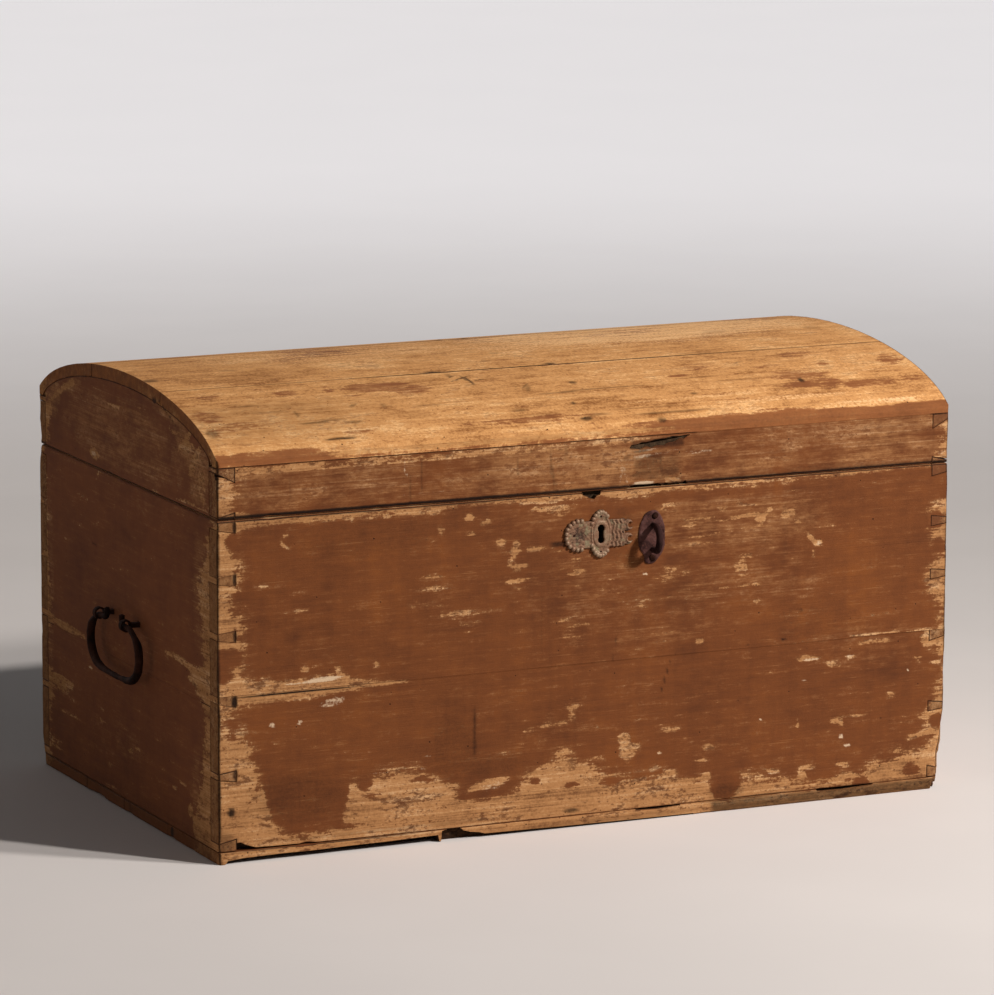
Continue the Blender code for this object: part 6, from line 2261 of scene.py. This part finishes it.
@dataclass
class DropHandle:
    """One drop handle: two eyes through the end and a bail that hangs in them."""

    smithy: Smithy
    name: str
    side: int
    stand: float = 0.0190
    middle: float = -0.0080
    height: float = 0.2620
    drop: float = 0.0726
    tip: float = 0.0270
    tip_rise: float = 0.0132
    bar_radius: float = 0.0056
    tip_radius: float = 0.0038
    foot_radius: float = 0.0037
    half_line: Line = (
        (0.0520, -0.0004), (0.0620, -0.0034), (0.0730, -0.0092), (0.0825, -0.0178), (0.0875, -0.0290),
        (0.0868, -0.0430), (0.0790, -0.0570), (0.0660, -0.0662), (0.0480, -0.0706), (0.0240, -0.0722))

    def build(self) -> None:
        """Make the bail and dress the eyes."""
        x = self.side * (FORM.half_length + self.stand)
        half = [(self.tip, self.tip_rise), (self.tip, 0.0070), (self.tip + 0.0022, 0.0018),
                (self.tip + 0.008, 0.0), *self.half_line]
        corners = [(x, self.middle - y, self.height + z) for y, z in half]
        corners.append((x, self.middle, self.height - self.drop))
        corners += [(x, self.middle + y, self.height + z) for y, z in reversed(half)]
        line = smooth_line(corners, 6)
        out = np.abs(line[:, 1] - self.middle)
        below = self.height - line[:, 2]
        limb = smooth(below, 0.004, 0.020)
        foot = smooth(out, 0.070, 0.020) * smooth(below, 0.04, 0.06)
        radius = (self.tip_radius + (self.bar_radius - self.tip_radius) * limb
                  - (self.bar_radius - self.foot_radius) * foot)
        name = f"{self.name}_handle_bail"
        show(self.smithy.bar(name + "_forged", line, radius, radius), name + "_forged", f"{self.name}_bail",
             self.smithy.finishes.iron, [name], sharp=60)
        for place in ("front", "rear"):
            self.smithy.forge(f"{self.name}_handle_{place}_eye", "box", 0.0022)


@dataclass
class StrapHinge:
    """One strap hinge on the back: two straps nailed on, and their pin."""

    smithy: Smithy
    name: str
    middle: float
    axis_height: float = 0.4473
    strap_face: float = 0.0031
    box_nails: Line = (
        (-0.011, -0.022), (0.011, -0.022), (-0.009, -0.060), (0.009, -0.075), (-0.008, -0.120),
        (0.008, -0.160), (0.0, -0.205), (0.0, -0.262))
    lid_nails: Line = ((-0.012, 0.018), (0.012, 0.018), (0.0, 0.042))
    nail_radius: float = 0.0042
    nail_height: float = 0.0020

    def build(self) -> None:
        """Dress the straps and the pin, and drive the nails."""
        self.smithy.forge(f"{self.name}_hinge_box_strap", "box")
        self.smithy.forge(f"{self.name}_hinge_lid_strap", "lid")
        self.smithy.forge(f"{self.name}_hinge_pin", "box", 0.002, dent=0.0002)
        face = FORM.half_depth + self.strap_face
        for part, nails in (("box", self.box_nails), ("lid", self.lid_nails)):
            places = [((self.middle + across, face, self.axis_height + up), (0, 1, 0)) for across, up in nails]
            self.smithy.nails(f"{self.name}_hinge_{part}_nails", part, places, self.nail_radius,
                              self.nail_height)


@dataclass
class ChestLock:
    """The lock inside the front, its bolt and the catch on the lid."""

    smithy: Smithy
    inset: float = 0.009
    nail_radius: float = 0.0040
    nail_height: float = 0.0018

    def build(self) -> None:
        """Dress the lock's parts and drive their nails."""
        self.smithy.forge("lock_case", "box", 0.004)
        self.smithy.forge("lock_bolt", "bolt", 0.004, dent=0.0002)
        self.smithy.forge("lid_catch", "lid", 0.003, dent=0.0002)
        low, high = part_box("lock_case")
        places = [((x, high[1] - 0.0002, z), (0, 1, 0)) for x in (low[0] + self.inset, high[0] - self.inset)
                  for z in (low[2] + self.inset, high[2] - self.inset * 1.6)]
        self.smithy.nails("lock_case_nails", "box", places, self.nail_radius, self.nail_height)


@dataclass
class SmallNails:
    """The nails that hold the staves on the skirt, and the bottom planks on the box."""

    smithy: Smithy
    along: Sequence[float] = (-0.462, -0.352, -0.21, -0.062, 0.104, 0.238, 0.372, 0.471)
    across: Sequence[float] = (-0.262, -0.19, -0.146, -0.104, -0.03, 0.062, 0.103, 0.136, 0.205, 0.27)
    end_inset: float = 0.0125
    edge_inset: float = 0.0120
    sunk: float = 0.0014
    head: float = 0.0027
    under: Sequence[float] = (-0.29, -0.19, -0.11, -0.04, 0.05, 0.12, 0.18, 0.28)
    under_along: float = 0.5175
    under_head: float = 0.0038

    def on_dome(self, along: float, across: float, reach: float = 1e-4) -> tuple[Place, Place]:
        """Return a nail on the dome.

        Args:
            along: its place along the chest.
            across: its place across the chest.
            reach: distance over which the dome's slope is taken.

        Returns:
            The foot of its head and the way it faces.
        """
        heights = FORM.dome(np.array([across - reach, across, across + reach]))
        slope = (heights[2] - heights[0]) / (2 * reach)
        return (along, across, float(heights[1]) - self.sunk), (0.0, -float(slope), 1.0)

    def build(self) -> None:
        """Drive the nails."""
        places = []
        for sign in (-1, 1):
            for number, across in enumerate(self.across):
                shift = 0.0016 * math.sin(number * 2.3 + sign)
                places.append(self.on_dome(sign * (FORM.half_length - self.end_inset) + shift, across))
            for number, along in enumerate(self.along):
                across = sign * (FORM.half_depth - self.edge_inset) + 0.001 * math.sin(number * 1.7)
                places.append(self.on_dome(along, across))
        self.smithy.nails("stave_nails", "lid", places, self.head, 0.0009)
        under = [((sign * self.under_along, y, 0.0006), (0, 0, -1)) for sign in (-1, 1) for y in self.under]
        self.smithy.nails("bottom_nails", "box", under, self.under_head, 0.0004)


# Studio


@dataclass
class Studio:
    """Plain pale floor, soft light and a camera at the photograph's angle."""

    yaw: float = 25.11
    pitch: float = 10.384
    roll: float = 0.205
    distance: float = 7.611
    target: Place = (0.0108, 0.0, 0.3848)
    focal: float = 5605.0
    frame_width: float = 994.0
    sensor: float = 36.0
    floor_half: float = 60.0
    floor_colour: Colour = (0.700, 0.645, 0.618)
    backdrop_colour: Colour = (0.42, 0.425, 0.45)
    key_azimuth: float = 41.0
    key_height: float = 33.0
    sun_strength: float = 2.1
    sun_softness: float = 3.0
    lamp_aim: Place = (0, 0, 0.3)
    lamp_distance: float = 3.4
    lamp_power: float = 50.5
    lamp_spread: float = 140.0
    lamp_size: float = 0.35
    warm: Colour = (1.0, 0.975, 0.94)
    side_place: Place = (-4.0, -0.9, 0.75)
    side_power: float = 4.8
    side_size: float = 1.6
    side_colour: Colour = (1.0, 0.86, 0.74)
    sky: float = 0.085
    sky_colour: Colour = (0.96, 0.98, 1.0)

    def build(self) -> None:
        """Put up the floor, the light and the camera."""
        self._floor()
        self._lamps()
        self._sky()
        self._camera()

    def _toward(self, azimuth: float, height: float) -> Vector:
        """Return the direction to a place round the chest, by its angles in radians."""
        return Vector((math.sin(azimuth) * math.cos(height), -math.cos(azimuth) * math.cos(height),
                       math.sin(height)))

    def _toward_key(self) -> Vector:
        """Return the direction from the chest to the main light."""
        return self._toward(math.radians(self.key_azimuth), math.radians(self.key_height))

    def _floor(self) -> None:
        """Lay the floor."""
        bm = bmesh.new()
        bmesh.ops.create_grid(bm, x_segments=1, y_segments=1, size=self.floor_half)
        bmesh.ops.translate(bm, verts=bm.verts, vec=(0, 0, -0.0002))
        mesh = mesh_of(bm, "studio_floor")
        mesh.materials.append(self._floor_finish())
        floor = link("studio_floor", mesh)

    def _floor_finish(self) -> bpy.types.Material:
        """Make the floor's paint, which grows paler to the camera far behind the chest.

        Returns:
            The material.
        """
        shader = Shader("pale_floor")
        clouds = shader.noise(2.5, 3, 0.5)
        colour = shader.mix(shader.ease(clouds, 0.3, 0.7), self.floor_colour,
                            tuple(value * 1.03 for value in self.floor_colour))
        reach = shader.node("VectorMath", {0: shader.place}, operation="LENGTH").outputs["Value"]
        ahead = shader.node("VectorMath", {0: shader.place, 1: self._toward_key()}, operation="DOT_PRODUCT")
        far = shader.math("MULTIPLY", shader.ease(reach, 1.6, 7.0),
                          shader.ease(ahead.outputs["Value"], 0.0, 2.0, 1.0, 0.0))
        far = shader.math("MAXIMUM", far, shader.ease(reach, 4.5, 11.0))
        seen = shader.node("LightPath").outputs["Is Camera Ray"]
        shader.feed(shader.surface.inputs["Emission Color"], self.backdrop_colour)
        shader.feed(shader.surface.inputs["Emission Strength"], shader.math("MULTIPLY", far, seen))
        return shader.close(colour, 0.85, 0.1)

    def _area_lamp(self, name: str, place: Vector, power: float, size: float, colour: Colour) -> None:
        """Hang a round lamp that looks at the middle of the chest.

        Args:
            name: name of the lamp.
            place: where it hangs.
            power: its power in watts.
            size: its width.
            colour: colour of its light.
        """
        data = bpy.data.lights.new(name, "AREA")
        data.shape = "DISK"
        data.size = size
        data.energy = power
        data.spread = math.radians(self.lamp_spread)
        data.color = colour
        lamp = link(name, data)
        lamp.location = place
        lamp.rotation_euler = (place - Vector(self.lamp_aim)).to_track_quat("Z", "Y").to_euler()

    def _lamps(self) -> None:
        """Hang the sun and the two lamps."""
        toward = self._toward_key()
        sun = bpy.data.lights.new("studio_sun", "SUN")
        sun.energy = self.sun_strength
        sun.angle = math.radians(self.sun_softness)
        sun.color = self.warm
        link("studio_sun", sun).rotation_euler = toward.to_track_quat("Z", "Y").to_euler()
        self._area_lamp("studio_key", toward * self.lamp_distance + Vector(self.lamp_aim), self.lamp_power,
                        self.lamp_size, self.warm)
        self._area_lamp("studio_side", Vector(self.side_place), self.side_power, self.side_size,
                        self.side_colour)

    def _sky(self) -> None:
        """Set a soft sky, which the camera and reflections see as white."""
        world = bpy.data.worlds.new("studio_sky")
        world.use_nodes = True
        tree = world.node_tree
        tree.nodes.clear()
        paths, soft, white, choose, output = (tree.nodes.new("ShaderNode" + kind) for kind in (
            "LightPath", "Background", "Background", "MixShader", "OutputWorld"))
        shown = paths.outputs["Is Camera Ray"]
        for ray in ("Is Glossy Ray", "Is Transmission Ray"):
            either = tree.nodes.new("ShaderNodeMath")
            either.operation = "MAXIMUM"
            tree.links.new(shown, either.inputs[0])
            tree.links.new(paths.outputs[ray], either.inputs[1])
            shown = either.outputs[0]
        soft.inputs["Color"].default_value = (*self.sky_colour, 1.0)
        soft.inputs["Strength"].default_value = self.sky
        white.inputs["Color"].default_value = (1.0, 1.0, 1.0, 1.0)
        white.inputs["Strength"].default_value = 1.0
        for number, source in enumerate((shown, soft.outputs[0], white.outputs[0])):
            tree.links.new(source, choose.inputs[number])
        tree.links.new(choose.outputs[0], output.inputs["Surface"])
        bpy.context.scene.world = world

    def _camera(self) -> None:
        """Set the camera at the angle and distance of the photograph."""
        roll, pitch = math.radians(self.roll), math.radians(self.pitch)
        back = self._toward(-math.radians(self.yaw), pitch)
        right = (-back).cross(Vector((0, 0, 1))).normalized()
        up = right.cross(-back)
        right, up = right * math.cos(roll) + up * math.sin(roll), up * math.cos(roll) - right * math.sin(roll)
        matrix = Matrix((right, up, back)).transposed().to_4x4()
        matrix.translation = Vector(self.target) + back * self.distance
        data = bpy.data.cameras.new("studio_camera")
        data.sensor_width = self.sensor
        data.lens = self.focal * self.sensor / self.frame_width
        data.clip_end = 200
        camera = link("studio_camera", data)
        camera.matrix_world = matrix
        bpy.context.scene.camera = camera


def main() -> None:
    """Build the looks of the chest, piece by piece."""
    logging.basicConfig(level=logging.INFO, format="%(name)s: %(message)s")
    bpy.context.scene.view_settings.view_transform = "Standard"
    Studio().build()
    finishes = Finishes()
    carpentry = Carpentry(finishes, Weathering())
    BoxOfBoards(carpentry).build()
    BottomPlanks(carpentry).build()
    DomedLid(carpentry).build()
    Till(carpentry).build()
    smithy = Smithy(finishes)
    KeyholePlate(smithy).build()
    PadlockStaple(smithy).build()
    DropHandle(smithy, "left", -1).build()
    DropHandle(smithy, "right", 1).build()
    StrapHinge(smithy, "left", -0.33).build()
    StrapHinge(smithy, "right", 0.33).build()
    ChestLock(smithy).build()
    SmallNails(smithy).build()


if __name__ == "__main__":
    main()
